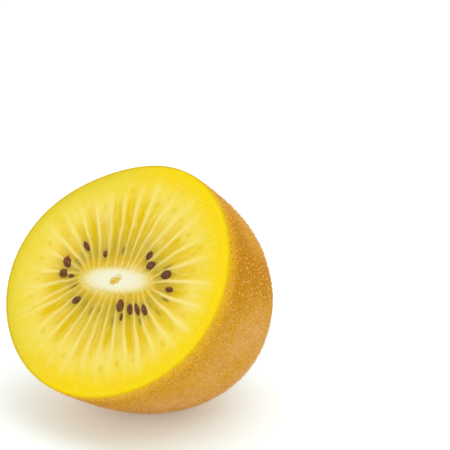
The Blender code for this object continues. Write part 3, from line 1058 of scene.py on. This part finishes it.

# %% [markdown]
# ### Marks for the flesh's finish
#
# The numbers that shaped the cut now go onto the mesh as marks. Three more join them. `fan` says
# where the white of the core runs out between the chambers, which it does towards two sides. Another
# mark holds the side away from the lamp, where the flesh gets painted shade: darker, greener yellows.
# `fibre` gives each point a place in a space of its own, where the lines from the core lie straight,
# for noise that has to follow them.

# %% Marks for the flesh's finish
FAN_SIDE = math.radians(50)
SHADED_SIDE = math.radians(8)
FIBRE_ROUND = 6
FIBRE_OUT = 0.9
before = pocket[..., 0].size
after = side[1:, :, 0].size + 2


def face_marks(values):
    """Pads the face's numbers with zeros for the pocket and the side, which are out of sight."""
    return np.concatenate((np.zeros(before), values.ravel(), np.zeros(after)))


def fan_side(line):
    """1 on the two sides that the core's white runs out to, and 0 between them."""
    return (0.5 + 0.5 * np.cos(2 * (line - FAN_SIDE))) ** 1.5


def fibre_place(line, out):
    """A place in the space where fibres lie straight: a row for each point."""
    place = np.stack((FIBRE_ROUND * np.cos(line), FIBRE_ROUND * np.sin(line), FIBRE_OUT * out), -1)
    return place.reshape(-1, 3)


flesh_fibre = (np.zeros((before, 3)), fibre_place(spoke, share), np.zeros((after, 3)))
store(flesh, "share", face_marks(share))
store(flesh, "wall", face_marks(wall))
store(flesh, "jelly", face_marks(jelly))
store(flesh, "dots", face_marks(dots))
store(flesh, "shade", face_marks(shade))
store(flesh, "from_rim", face_marks(from_rim))
store(flesh, "fan", face_marks((1 - smooth(share, 0.0, 0.16)) * fan_side(spoke)))
# Painted shade: the side away from the lamp, where the flesh is painted darker and greener
store(flesh, "shaded_side", face_marks(smooth(-np.cos(angle_here + SHADED_SIDE), -0.10, 0.75)))
store(flesh, "fibre", np.concatenate(flesh_fibre), "FLOAT_VECTOR")
print("the darkest mark of a sunk seed is", shade.max().round(2))

# %% [markdown]
# ### Finish: golden kiwi flesh
#
# The flesh is wet plant tissue: mostly water, IOR about 1.36, with light running a little way through
# it before it comes out, which takes a little subsurface scattering. Its colours follow the marks:
# pale yellow outside, pure yellow in the last millimetres before the skin, deep gold jelly in the
# chambers, paler walls, and an olive shadow where seeds lie under the jelly. Every edge between them
# is broken up by streaks that run outwards along the fibres, and pale cells and hairlines of vein lie
# over all of it. So many soft ranges are needed that they stand in one table, and the coats in another.

# %% Flesh finish: marks and noises
flesh_finish, tree, shader = new_material("golden_kiwi_flesh")
MARKS = ("share", "wall", "jelly", "dots", "shade", "from_rim", "shaded_side", "fan")
marks = {}
for name in MARKS:
    marks[name] = add(tree, "ShaderNodeAttribute", attribute_name=name).outputs["Fac"]
fibre = add(tree, "ShaderNodeAttribute", attribute_name="fibre").outputs["Vector"]
object_place = add(tree, "ShaderNodeTexCoord").outputs["Object"]

# The first three follow the fibres, and the last two are the same all over
STREAKS = {"Scale": 7.0, "Detail": 3.0, "Roughness": 0.6}
NOISES = {
    "streaks": {"Vector": fibre, **STREAKS},
    "smears": {"Vector": fibre, "Scale": 2.6, "Detail": 2.0, "Roughness": 0.5},
    "hairlines": {"Vector": fibre, "Scale": 2.2, "Detail": 0.0},
    "clouds": {"Vector": object_place, "Scale": 1 / (2.2 * MM), "Detail": 3.0},
    "cells": {"Vector": object_place, "Scale": 1 / (0.50 * MM), "Detail": 2.0, "Roughness": 0.6},
}
noises = {}
for name, settings in NOISES.items():
    noises[name] = add(tree, "ShaderNodeTexNoise", settings).outputs["Fac"]
print(len(noises), "noises and", len(marks), "marks drive the flesh")

# %% Flesh finish: colours by zone
# The outer yellows are counted in millimetres from the rim, and the others in shares
RIM_START, RIM_WIDTH = 0.1, 8.0
rim_place = {"Value": marks["from_rim"], "From Min": RIM_START, "From Max": RIM_WIDTH}
rim_place = add(tree, "ShaderNodeMapRange", rim_place)
plain = set_stops(
    add(tree, "ShaderNodeValToRGB", {"Fac": marks["share"]}),
    (0.0, "#e6c236"),
    (0.12, "#dfbe3a"),
    (0.28, "#dabd4c"),
    (0.45, "#e0c65c"),
    (0.6, "#ebd062"),
    (0.8, "#f3da68"),
    (1.0, "#f6dd5c"),
)
outer = set_stops(
    add(tree, "ShaderNodeValToRGB", {"Fac": rim_place}),
    (0.0, "#f6d200"),
    (0.1, "#f8d800"),
    (0.3, "#f6d504"),
    (0.5, "#f5d728"),
    (0.75, "#f3d94c"),
    (1.0, "#f3da5a"),
)
# Painted shade: darker, greener yellows at the rim on the side away from the lamp
shaded_outer = set_stops(
    add(tree, "ShaderNodeValToRGB", {"Fac": rim_place}),
    (0.0, "#d6c020"),
    (0.1, "#e2cd34"),
    (0.3, "#ebd53e"),
    (0.5, "#efd744"),
    (0.75, "#f2da50"),
    (1.0, "#f3da5a"),
)
print("the yellows at the rim are", RIM_WIDTH, "mm wide")

# %% Flesh finish: colours of jelly and walls
jelly_colour = set_stops(
    add(tree, "ShaderNodeValToRGB", {"Fac": marks["share"]}),
    (0.0, "#e0b408"),
    (0.1, "#dab214"),
    (0.25, "#c4a224"),
    (0.4, "#c8a81c"),
    (0.53, "#d6b40e"),
    (0.68, "#e0bb00"),
    (0.95, "#ecca00"),
)
wall_colour = set_stops(
    add(tree, "ShaderNodeValToRGB", {"Fac": marks["share"]}),
    (0.0, "#f3e2a4"),
    (0.1, "#edd47c"),
    (0.3, "#ecd47c"),
    (0.5, "#f4de86"),
    (0.75, "#f4e28c"),
    (1.0, "#f5e282"),
)
print("the tree has", len(tree.nodes), "nodes so far")

# %% Flesh finish: stretch marks and noises to shares
# Hairlines lie where their noise passes its middle value, which is along thin winding lines
off_line = add(tree, "ShaderNodeMath", {0: noises["hairlines"], 1: 0.5}, operation="SUBTRACT")
off_line = add(tree, "ShaderNodeMath", {0: off_line}, operation="ABSOLUTE")
# What is stretched, the range it has, and the range it gets
STRETCHES = {
    "near the rim": (marks["share"], 0.75, 1.0, 0.0, 1.0),
    "clouds": (noises["clouds"], 0.35, 0.7, 0.0, 0.30),
    "pale cells": (noises["cells"], 0.50, 0.74, 0.0, 0.34),
    "fewer at the rim": (marks["from_rim"], 0.5, 5.0, 0.45, 1.0),
    "pale smears": (noises["smears"], 0.52, 0.68, 0.0, 0.45),
    "none at the rim": (marks["from_rim"], 2.0, 6.0, 0.0, 1.0),
    "smeared": (noises["smears"], 0.32, 0.62, 0.55, 1.15),
    "streaked": (noises["streaks"], 0.3, 0.7, 0.75, 1.15),
    "hairlines": (off_line, 0.0, 0.035, 0.45, 0.0),
    "in chambers": (marks["share"], 0.05, 0.4, 0.0, 1.0),
    "not past them": (marks["share"], 0.75, 1.1, 1.0, 0.0),
    "broken walls": (noises["streaks"], 0.3, 0.7, 1.2, 0.6),
    "broken fan": (noises["streaks"], 0.40, 0.60, 0.95, 0.25),
    "wetness": (marks["jelly"], 0.0, 1.0, 0.45, 0.30),
}
RANGE = ("Value", "From Min", "From Max", "To Min", "To Max")
shares = {}
for name, row in STRETCHES.items():
    shares[name] = add(tree, "ShaderNodeMapRange", dict(zip(RANGE, row)))
shares["near the rim"].interpolation_type = "SMOOTHSTEP"
print(len(shares), "ranges are stretched")

# %% Flesh finish: the coats
colour = lay_coats(
    tree,
    plain,
    # Painted shade on the side away from the lamp: greener, darker yellows near the rim
    (shares["near the rim"], lay_coats(tree, outer, (marks["shaded_side"], shaded_outer))),
    (shares["clouds"], "#eecb1c"),
    (shares["pale cells"], shares["fewer at the rim"], "#f6e48c"),
    (shares["pale smears"], shares["none at the rim"], "#f5e282"),
    (marks["jelly"], shares["smeared"], shares["streaked"], jelly_colour),
    (marks["dots"], 0.85, "#e6c400"),
    (marks["shade"], shares["smeared"], shares["streaked"], "#6f5c22"),
    (shares["hairlines"], shares["in chambers"], shares["not past them"], wall_colour),
    (marks["wall"], shares["broken walls"], wall_colour),
    (marks["fan"], shares["broken fan"], "#f2e2a0"),
)
print("with its coats the tree has", len(tree.nodes), "nodes")

# %% Flesh finish: grain, wetness and the shader
rise = add(tree, "ShaderNodeMath", {0: noises["streaks"], 1: noises["cells"]}, operation="ADD")
grain = {"Height": rise, "Distance": 0.05 * MM, "Strength": 0.5}
flesh_look = {
    "Base Color": colour,
    "Normal": add(tree, "ShaderNodeBump", grain),
    "Roughness": shares["wetness"],
    "IOR": 1.36,
    "Specular IOR Level": 0.12,
    "Subsurface Weight": 0.3,
    "Subsurface Radius": (1.0, 0.7, 0.2),
    "Subsurface Scale": 0.25 * MM,
}
wire(tree, shader, flesh_look)
flesh.data.materials.append(flesh_finish)
print("flesh finish uses", len(tree.nodes), "nodes")

# %% [markdown]
# ### Growing the seeds
#
# All the seeds share one shape, so they are a job for Geometry Nodes: one point for each seed, which
# carries the way it points and its size, and one drop put on each. The drop is a sphere whose end at
# the core is drawn in. Turning each seed by hand would work too, but then a new place for one seed
# would mean new angles for it, and here they follow from the place.

# %% A tree for seeds
seed_tree, given, result = new_tree(
    "seeds_on_face",
    ("Length", "Float"),
    ("Width", "Float"),
    ("Thickness", "Float"),
    ("Point", "Float"),
    ("Face normal", "Vector"),
    ("Finish", "Material"),
)
ball = {"Segments": 28, "Rings": 18, "Radius": 1.0}
ball = add(seed_tree, "GeometryNodeMeshUVSphere", ball).outputs["Mesh"]
spot = add(seed_tree, "GeometryNodeInputPosition")
axes = add(seed_tree, "ShaderNodeSeparateXYZ", {"Vector": spot}).outputs
# The pole-to-pole line becomes the length, and the half that looks at the core narrows
inner_half = {0: axes["Z"], 1: -1.0}
inner_half = add(seed_tree, "ShaderNodeMath", inner_half, operation="MULTIPLY", use_clamp=True)
narrows = add(seed_tree, "ShaderNodeMath", {0: inner_half, 1: 1.6}, operation="POWER")
narrows = add(seed_tree, "ShaderNodeMath", {0: narrows, 1: given["Point"]}, operation="MULTIPLY")
slim = add(seed_tree, "ShaderNodeMath", {0: 1.0, 1: narrows}, operation="SUBTRACT")
wide = add(seed_tree, "ShaderNodeMath", {0: axes["X"], 1: slim}, operation="MULTIPLY")
thick = add(seed_tree, "ShaderNodeMath", {0: axes["Y"], 1: slim}, operation="MULTIPLY")
drop_place = add(seed_tree, "ShaderNodeCombineXYZ", {"X": axes["Z"], "Y": wide, "Z": thick})
half_sizes = {"X": given["Length"], "Y": given["Width"], "Z": given["Thickness"]}
half_sizes = add(seed_tree, "ShaderNodeCombineXYZ", half_sizes)
drop_place = {0: drop_place, 1: half_sizes}
drop_place = add(seed_tree, "ShaderNodeVectorMath", drop_place, operation="MULTIPLY")
drop = add(seed_tree, "GeometryNodeSetPosition", {"Geometry": ball, "Position": drop_place})
print("one drop takes", len(seed_tree.nodes), "nodes")

# %% A tree for seeds: one drop on each point
own = {}
for name in ("outward", "size"):
    own[name] = {"Name": name}
    own[name] = add(seed_tree, "GeometryNodeInputNamedAttribute", own[name], data_type="FLOAT_VECTOR")
upright = {"Vector": given["Face normal"]}
upright = add(seed_tree, "FunctionNodeAlignRotationToVector", upright, axis="Z")
pointed = {"Rotation": upright, "Vector": own["outward"]}
pointed = add(seed_tree, "FunctionNodeAlignRotationToVector", pointed, axis="X", pivot_axis="Z")
as_points = add(seed_tree, "GeometryNodeMeshToPoints", {"Mesh": given["Surface"]})
sown = {"Points": as_points, "Instance": drop, "Rotation": pointed, "Scale": own["size"]}
sown = add(seed_tree, "GeometryNodeInstanceOnPoints", sown)
finish_tree(seed_tree, sown, given, result)

# %% [markdown]
# ### Finish: kiwi seed coat
#
# A seed coat is hard and satin, with a fine net of ridges on it: IOR about 1.5, roughness 0.42. It
# is dark brown with lighter patches. Two seeds still have scraps of their stalk, and the pale scrap
# is partly a painted highlight on top of its seed. The mark `kind` tells those apart: 0 is a seed,
# 1 an orange scrap and 2 the pale scrap with its painted highlight.

# %% Seed finish
seed_finish, tree, shader = new_material("kiwi_seed_coat")
object_place = add(tree, "ShaderNodeTexCoord").outputs["Object"]
net = {"Vector": object_place, "Scale": 1 / (0.18 * MM)}
net = add(tree, "ShaderNodeTexVoronoi", net, feature="DISTANCE_TO_EDGE").outputs["Distance"]
net = add(tree, "ShaderNodeMapRange", {"Value": net, "From Max": 0.25})
net_bump = {"Height": net, "Distance": 0.02 * MM, "Strength": 0.5}
patches = {"Vector": object_place, "Scale": 1 / (0.45 * MM), "Detail": 2.0}
patches = add(tree, "ShaderNodeTexNoise", patches).outputs["Fac"]
colour = add(tree, "ShaderNodeValToRGB", {"Fac": patches})
colour = set_stops(colour, (0.3, "#4e2405"), (0.5, "#66340c"), (0.7, "#8c581e"))
kind = add(tree, "ShaderNodeAttribute", attribute_name="kind").outputs["Fac"]
is_stalk = add(tree, "ShaderNodeMath", {0: kind, 1: 0.5}, operation="GREATER_THAN")
is_pale_scrap_and_highlight = add(tree, "ShaderNodeMath", {0: kind, 1: 1.5}, operation="GREATER_THAN")
# The pale scrap is partly a painted highlight on top of its seed
colour = lay_coats(tree, colour, (is_stalk, "#c4501a"), (is_pale_scrap_and_highlight, "#ead9a0"))
seed_look = {
    "Base Color": colour,
    "Normal": add(tree, "ShaderNodeBump", net_bump),
    "Roughness": 0.42,
    "IOR": 1.5,
    "Specular IOR Level": 0.3,
}
wire(tree, shader, seed_look)
print("seed finish uses", len(tree.nodes), "nodes")

# %% Sow the seeds
SEED_THICK = 0.62 * MM
SEED_POINT = 0.40
# Scraps of stalk, the pale one partly a painted highlight: place, share, half length, half width, lean
# and kind
STALKS = (
    (13.52, 0.605, 0.42, 0.22, -70, 1),
    (13.72, 0.570, 0.25, 0.20, 30, 1),
    (9.52, 0.292, 0.20, 0.13, 0, 2),
)
seed_rows = [(*row, 0) for row in BARE_SEEDS] + list(STALKS)
seed_middles, seed_ways, seed_sizes = [], [], []
for place, out, long, wide, lean, kind in seed_rows:
    middle, outwards = seed_frame(place, out)
    # Narrow seeds are thinner and lie deeper, and scraps of stalk lie on top
    sunk = 0.12 + 0.30 * max(0.0, 0.9 - wide) if kind == 0 else 0.02
    seed_middles.append(middle - np.array((0, 0, sunk * MM)))
    seed_ways.append(TILT @ leant(outwards, lean))
    seed_sizes.append((long, wide, min(1.0, 0.45 + 0.6 * wide)))
seed_bed_mesh = bpy.data.meshes.new("seed_bed")
seed_bed_mesh.from_pydata(on_table(np.array(seed_middles)).tolist(), [], [])
seed_bed = bpy.data.objects.new("seed_bed", seed_bed_mesh)
store(seed_bed, "outward", seed_ways, "FLOAT_VECTOR")
store(seed_bed, "size", seed_sizes, "FLOAT_VECTOR")
store(seed_bed, "kind", [float(row[-1]) for row in seed_rows])
seed_values = {
    "Length": MM,
    "Width": MM,
    "Thickness": SEED_THICK,
    "Point": SEED_POINT,
    "Face normal": tuple(FACE_NORMAL),
    "Finish": seed_finish,
}
seeds = grow(seed_bed, "seeds", seed_tree, seed_values)
bpy.data.objects.remove(seed_bed)
print("seeds:", triangles(seeds), "triangles")

# %% [markdown]
# ## The core
#
# The core is a spindle of firm white tissue, a lens at the cut. It is a main piece with a simple
# rule, an ellipse that shrinks towards the closed end. It swells a little out of the cut, because
# it is firmer than the flesh round it, and a small ragged pith opens in its middle.

# %% Rings for the core
CORE_COLUMNS = 288
CORE_ROWS = 36
CORE_ROWS_BELOW = 8
PITH_LONG = 1.45 * MM
PITH_SHORT = 0.85 * MM
PITH_TURN = math.radians(38)
DOME = 0.08
PITH_DIP = 0.12

core_lines = np.arange(CORE_COLUMNS) * math.tau / CORE_COLUMNS
outwards = np.linspace(0, 1, CORE_ROWS + 1)[1:][:, None]
core_x = CORE_LONG * outwards * np.cos(core_lines)
core_y = CORE_SHORT * outwards * np.sin(core_lines)
core_face = turned(core_x, core_y)
core_points = core_face.reshape(-1, 3)
pith_x = core_x * math.cos(PITH_TURN) + core_y * math.sin(PITH_TURN)
pith_y = core_y * math.cos(PITH_TURN) - core_x * math.sin(PITH_TURN)
pith_near = np.hypot(pith_x / PITH_LONG, pith_y / PITH_SHORT)
ragged = wavy(core_points, 0.50 * MM, 5) + 0.5 * wavy(core_points, 0.22 * MM, 15)
pith = 1 - smooth(pith_near + 0.55 * ragged.reshape(pith_near.shape), 0.70, 1.10)
grain = wavy(core_points, 0.35 * MM, 3).reshape(pith_near.shape)
swell = DOME * (1 - outwards**4) + 0.02 * grain * (1 - outwards**6)
core_face[..., 2] = (swell - PITH_DIP * pith) * MM
below = core_rings(core_lines, CORE_ROWS_BELOW, 0.0)[1:]
core_middle = np.array((0, 0, (DOME - PITH_DIP) * MM))
core = closed_body("fruit_core", core_middle, np.concatenate((core_face, below)), pocket_tip)
print("core:", triangles(core), "triangles")

# %% Marks for the core's finish
hidden = below[..., 0].size
FAR_FROM_PITH = 9.0
level_lines = np.broadcast_to(core_lines, core_x.shape)
core_fibre = (fibre_place(level_lines, 0 * core_x), np.zeros((hidden + 2, 3)))
# The gold edge lies further in at the lens's two points, and further out where the white fans
pointed_ends = 0.05 * np.cos(core_lines) ** 4
edge_mark = (outwards * (1 + pointed_ends - 0.16 * fan_side(core_lines))).ravel()
pith_mark = np.concatenate((pith_near.ravel(), np.full(hidden, FAR_FROM_PITH), (0, FAR_FROM_PITH)))
store(core, "edge", np.concatenate((edge_mark, np.ones(hidden), (0, 1))))
store(core, "pith_near", pith_mark)
store(core, "fibre", np.concatenate(core_fibre), "FLOAT_VECTOR")
print("the edge mark ends at", edge_mark.max().round(2), "at most")

# %% [markdown]
# ### Finish: kiwi core
#
# White parenchyma, the fruit's packing tissue: dense, moist and satin, IOR about 1.38. It has no hard
# edge. Its cream turns gold over the last millimetre, and streaks of both colours cross there, so the
# same streaks as in the flesh carry on into it. In the middle a coarse noise eats into the pith's
# outline and mixes its two golds.

# %% Core finish
core_finish, tree, shader = new_material("kiwi_core")
marks = {}
for name in ("edge", "pith_near"):
    marks[name] = add(tree, "ShaderNodeAttribute", attribute_name=name).outputs["Fac"]
fibre = add(tree, "ShaderNodeAttribute", attribute_name="fibre").outputs["Vector"]
streaks = add(tree, "ShaderNodeTexNoise", {"Vector": fibre, **STREAKS}).outputs["Fac"]
uneven = add(tree, "ShaderNodeMath", {0: streaks, 1: -0.5}, operation="ADD")
ragged_edge = {0: uneven, 1: 0.75, 2: marks["edge"]}
ragged_edge = add(tree, "ShaderNodeMath", ragged_edge, operation="MULTIPLY_ADD")
colour = set_stops(
    add(tree, "ShaderNodeValToRGB", {"Fac": ragged_edge}),
    (0.0, "#f2edd2"),
    (0.5, "#f2eccc"),
    (0.68, "#f0e6b8"),
    (0.82, "#ebd98e"),
    (0.95, "#e2c54c"),
)
print("the streaks are the flesh's own:", STREAKS)

# %% Core finish: the pith and the shader
object_place = add(tree, "ShaderNodeTexCoord").outputs["Object"]
holes = {"Vector": object_place, "Scale": 1 / (0.42 * MM), "Detail": 3.0, "Roughness": 0.7}
holes = add(tree, "ShaderNodeTexNoise", holes).outputs["Fac"]
pith_edge = {0: holes, 1: 3.2, 2: marks["pith_near"]}
pith_edge = add(tree, "ShaderNodeMath", pith_edge, operation="MULTIPLY_ADD")
pith_here = {"Value": pith_edge, "From Min": 2.3, "From Max": 2.7, "To Min": 1.0, "To Max": 0.0}
pith_here = add(tree, "ShaderNodeMapRange", pith_here)
pith_tint = add(tree, "ShaderNodeMapRange", {"Value": holes, "From Min": 0.3, "From Max": 0.6})
pith_colour = lay_coats(tree, hex_colour("#cfa000"), (pith_tint, "#e8c83c"))
core_bump = {"Height": streaks, "Distance": 0.04 * MM, "Strength": 0.4}
core_look = {
    "Base Color": lay_coats(tree, colour, (pith_here, pith_colour)),
    "Normal": add(tree, "ShaderNodeBump", core_bump),
    "Roughness": 0.45,
    "IOR": 1.38,
    "Specular IOR Level": 0.25,
    "Subsurface Weight": 0.25,
    "Subsurface Radius": (1.0, 0.8, 0.5),
    "Subsurface Scale": 0.25 * MM,
}
wire(tree, shader, core_look)
core.data.materials.append(core_finish)
print("core finish uses", len(tree.nodes), "nodes")

# %% [markdown]
# ## The stem button
#
# At the closed end is the scar where the fruit hung: five soft orange pads, all that is left of the
# sepals, round a dark hollow with the broken stub of the stem in it. It sits in the dimple of the
# skin. The rings are those of the solid, made fine enough to crack and pit.

# %% The button's profile
BUTTON_RADIUS = 3.9 * MM
BUTTON_HEIGHT = 1.0 * MM
BUTTON_COLUMNS = 160
BUTTON_ROWS = 60
PADS = 5


def end_height(reach):
    """How high the skin lies at the closed end, this far from its middle."""
    across = reach / (MEAN_RADIUS * (1 - TAPER))
    along = (1 - across**WIDTH_POWER) ** (1 / DEPTH_POWER)
    return DIMPLE_DEPTH * np.exp(-((reach / DIMPLE_RADIUS) ** 2)) - DEPTH * along


# How far out and how high, as shares of the button's size, from underneath over the rim to the stub
profile_out = (0.05, 0.55, 0.95, 1.0, 0.88, 0.68, 0.46, 0.31, 0.26, 0.12, 0.02)
profile_up = (-0.25, -0.25, -0.15, 0.5, 0.95, 1.0, 0.4, 0.3, 1.1, 1.2, 1.12)
# The fourth of these is the rim, and all that comes after it lies on top
RIM_STEP = 3
steps = np.linspace(0, len(profile_out) - 1, BUTTON_ROWS)
out_share = np.interp(steps, range(len(profile_out)), profile_out)[:, None]
up_share = np.interp(steps, range(len(profile_up)), profile_up)[:, None]
print("the button is", round(2 * BUTTON_RADIUS / MM, 1), "mm across")

# %% Rings for the stem button
button_angle = np.arange(BUTTON_COLUMNS) * math.tau / BUTTON_COLUMNS
cleft = (0.5 - 0.5 * np.cos(PADS * button_angle)) ** 4 * smooth(out_share, 0.35, 0.6)
lobes = 1 + 0.05 * np.cos(PADS * button_angle) + 0.03 * np.cos(3 * button_angle + 1)
lobes = 1 + (lobes - 1) * smooth(out_share, 0.3, 0.5)
reach = BUTTON_RADIUS * out_share * lobes
button_x = reach * np.cos(button_angle)
button_y = reach * np.sin(button_angle)
button_flat = np.stack((button_x, button_y, up_share * MM + 0 * reach), -1)
button_points = button_flat.reshape(-1, 3)
crumbs = wavy(button_points, 0.5 * MM, 2) + 0.5 * wavy(button_points, 0.2 * MM, 8)
cracks = np.abs(wavy(button_points, 0.9 * MM, 14))
rough = (0.16 * crumbs - 0.25 * (1 - smooth(cracks, 0.0, 0.12))).reshape(reach.shape)
rough = (rough - 0.35 * cleft) * smooth(up_share, 0.0, 0.4)
level = end_height(reach) - (up_share + rough) * BUTTON_HEIGHT
button_rings = np.stack((button_x, button_y + POLE_RISE, level), -1)
button_base = button_rings[0].mean(0)
button_stub = button_rings[-1].mean(0)
button = closed_body("fruit_stem_button", button_base, button_rings, button_stub)
print("stem button:", triangles(button), "triangles")

# %% Marks for the stem button's finish
on_top = steps[:, None] > RIM_STEP + 0.5
hollow = bell(out_share - 0.36, 0.12) * on_top + 0 * reach
stub = (1 - smooth(out_share, 0.2, 0.3)) * on_top + 0 * reach
for mark_name, values in (("hollow", hollow), ("stub", stub), ("cleft", cleft)):
    store(button, mark_name, np.concatenate((values.ravel(), values[0, :1], values[-1, :1])))
print("clefts cover", round(100 * (cleft > 0.5).mean()), "% of the button's points")

# %% [markdown]
# ### Finish: dry stem cork
#
# Cork and dead wood have no shine: IOR 1.45 and roughness 0.85. The pads are orange tan and crumbly,
# the clefts between them brown, the hollow dark, and the stub the grey brown of old wood.

# %% Stem button finish
button_finish, tree, shader = new_material("dry_stem_cork")
object_place = add(tree, "ShaderNodeTexCoord").outputs["Object"]
crumble = {"Vector": object_place, "Scale": 1 / (0.6 * MM), "Detail": 5.0}
crumble = add(tree, "ShaderNodeTexNoise", crumble).outputs["Fac"]
colour = add(tree, "ShaderNodeValToRGB", {"Fac": crumble})
colour = set_stops(colour, (0.3, "#a4682c"), (0.5, "#d08e46"), (0.7, "#e6b06c"))
for name, coat in (("cleft", "#8e5a28"), ("hollow", "#5c3718"), ("stub", "#86663e")):
    cover = add(tree, "ShaderNodeAttribute", attribute_name=name).outputs["Fac"]
    colour = lay_coats(tree, colour, (cover, coat))
cork_bump = {"Height": crumble, "Distance": 0.1 * MM, "Strength": 0.8}
cork_bump = add(tree, "ShaderNodeBump", cork_bump)
wire(tree, shader, {"Base Color": colour, "Normal": cork_bump, "Roughness": 0.85, "IOR": 1.45})
button.data.materials.append(button_finish)
print("stem button finish uses", len(tree.nodes), "nodes")

# %% [markdown]
# ## Tie the pieces to the frame
#
# Nothing on a fruit moves, so every piece rides on the one body. The solid that each main piece
# stands for is hidden.

# %% Ride, and hide the solids that the pieces replace
for piece, node in ((skin, "skin"), (flesh, "flesh"), (core, "core"), (button, "stem_button")):
    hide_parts(node)
    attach(piece, "root")
for piece, slot in ((specks, "skin"), (fuzz, "skin"), (nibs, "skin"), (seeds, "flesh")):
    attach(piece, "root")

# %% [markdown]
# ## Table, light and camera
#
# The table is a plain white sheet, a trace cooler than the light. It glows a little, as a lit product
# table does, so shadows stay light. A white world lights the fruit from all round. One big soft lamp
# hangs overhead, a little to the right, and lays a soft shadow under the half. A long lens half a
# metre away looks 20 degrees down on it, from the right of the cut.

# %% Table
TABLE_HALF = 3
TABLE_COLOUR = (0.82, 0.93, 0.94, 1)
TABLE_GLOW = 0.20
WHITE = (1, 1, 1, 1)
near_left = (-TABLE_HALF, -TABLE_HALF, 0)
near_right = (TABLE_HALF, -TABLE_HALF, 0)
far_right = (TABLE_HALF, TABLE_HALF, 0)
far_left = (-TABLE_HALF, TABLE_HALF, 0)
table_mesh = bpy.data.meshes.new("table")
table_mesh.from_pydata([near_left, near_right, far_right, far_left], [], [(0, 1, 2, 3)])
table = bpy.data.objects.new("table", table_mesh)
bpy.context.scene.collection.objects.link(table)
table_finish, tree, shader = new_material("white_table")
table_look = {"Base Color": TABLE_COLOUR, "Roughness": 0.9, "Emission Color": WHITE}
wire(tree, shader, {**table_look, "Emission Strength": TABLE_GLOW})
table_mesh.materials.append(table_finish)
print("the table is", 2 * TABLE_HALF, "m wide")

# %% Light
WORLD_STRENGTH = 0.89
LAMP_PLACE = (0.22, 0.05, 0.85)
LAMP_SIZE = 0.8
LAMP_WATTS = 2.1
FRUIT_MIDDLE = 0.03
world = bpy.data.worlds.new("white_studio")
bpy.context.scene.world = world
world.use_nodes = True
backdrop = world.node_tree.nodes["Background"]
backdrop.inputs["Color"].default_value = WHITE
backdrop.inputs["Strength"].default_value = WORLD_STRENGTH


def soft_lamp(name, place, size, power):
    """A square lamp that looks at the fruit."""
    light = bpy.data.lights.new(name, "AREA")
    light.size = size
    light.energy = power
    lamp = bpy.data.objects.new(name, light)
    lamp.location = place
    away = Vector(place) - Vector((0, 0, FRUIT_MIDDLE))
    lamp.rotation_euler = away.to_track_quat("Z", "Y").to_euler()
    bpy.context.scene.collection.objects.link(lamp)
    return lamp


key = soft_lamp("key", LAMP_PLACE, LAMP_SIZE, LAMP_WATTS)
bpy.context.scene.view_settings.view_transform = "Standard"
bpy.context.scene.view_settings.look = "None"
print("the lamp hangs", round(key.location.length, 2), "m away")

# %% Camera
# Lens and sensor in millimetres
LENS_LENGTH = 193.44
SENSOR_WIDTH = 36
AZIMUTH = math.radians(39.5)
ELEVATION = math.radians(20)
DISTANCE = 0.499
# The lens looks past the middle of the cut by this much, so that the half stands low on the left
AIM_RIGHT = 22.55 * MM
AIM_UP = 11.34 * MM

back = Vector(
    (
        math.sin(AZIMUTH) * math.cos(ELEVATION),
        -math.cos(AZIMUTH) * math.cos(ELEVATION),
        math.sin(ELEVATION),
    )
)
right = Vector((math.cos(AZIMUTH), math.sin(AZIMUTH), 0))
up = back.cross(right)
face_centre = Vector(on_table(np.zeros(3)))
target = face_centre + right * AIM_RIGHT + up * AIM_UP

lens = bpy.data.cameras.new("camera")
lens.sensor_width = SENSOR_WIDTH
lens.lens = LENS_LENGTH
lens.clip_start = 0.01
camera = bpy.data.objects.new("camera", lens)
camera.location = target + back * DISTANCE
camera.rotation_euler = back.to_track_quat("Z", "Y").to_euler()
bpy.context.scene.collection.objects.link(camera)
bpy.context.scene.camera = camera
print("the lens is", round(lens.lens), "mm")
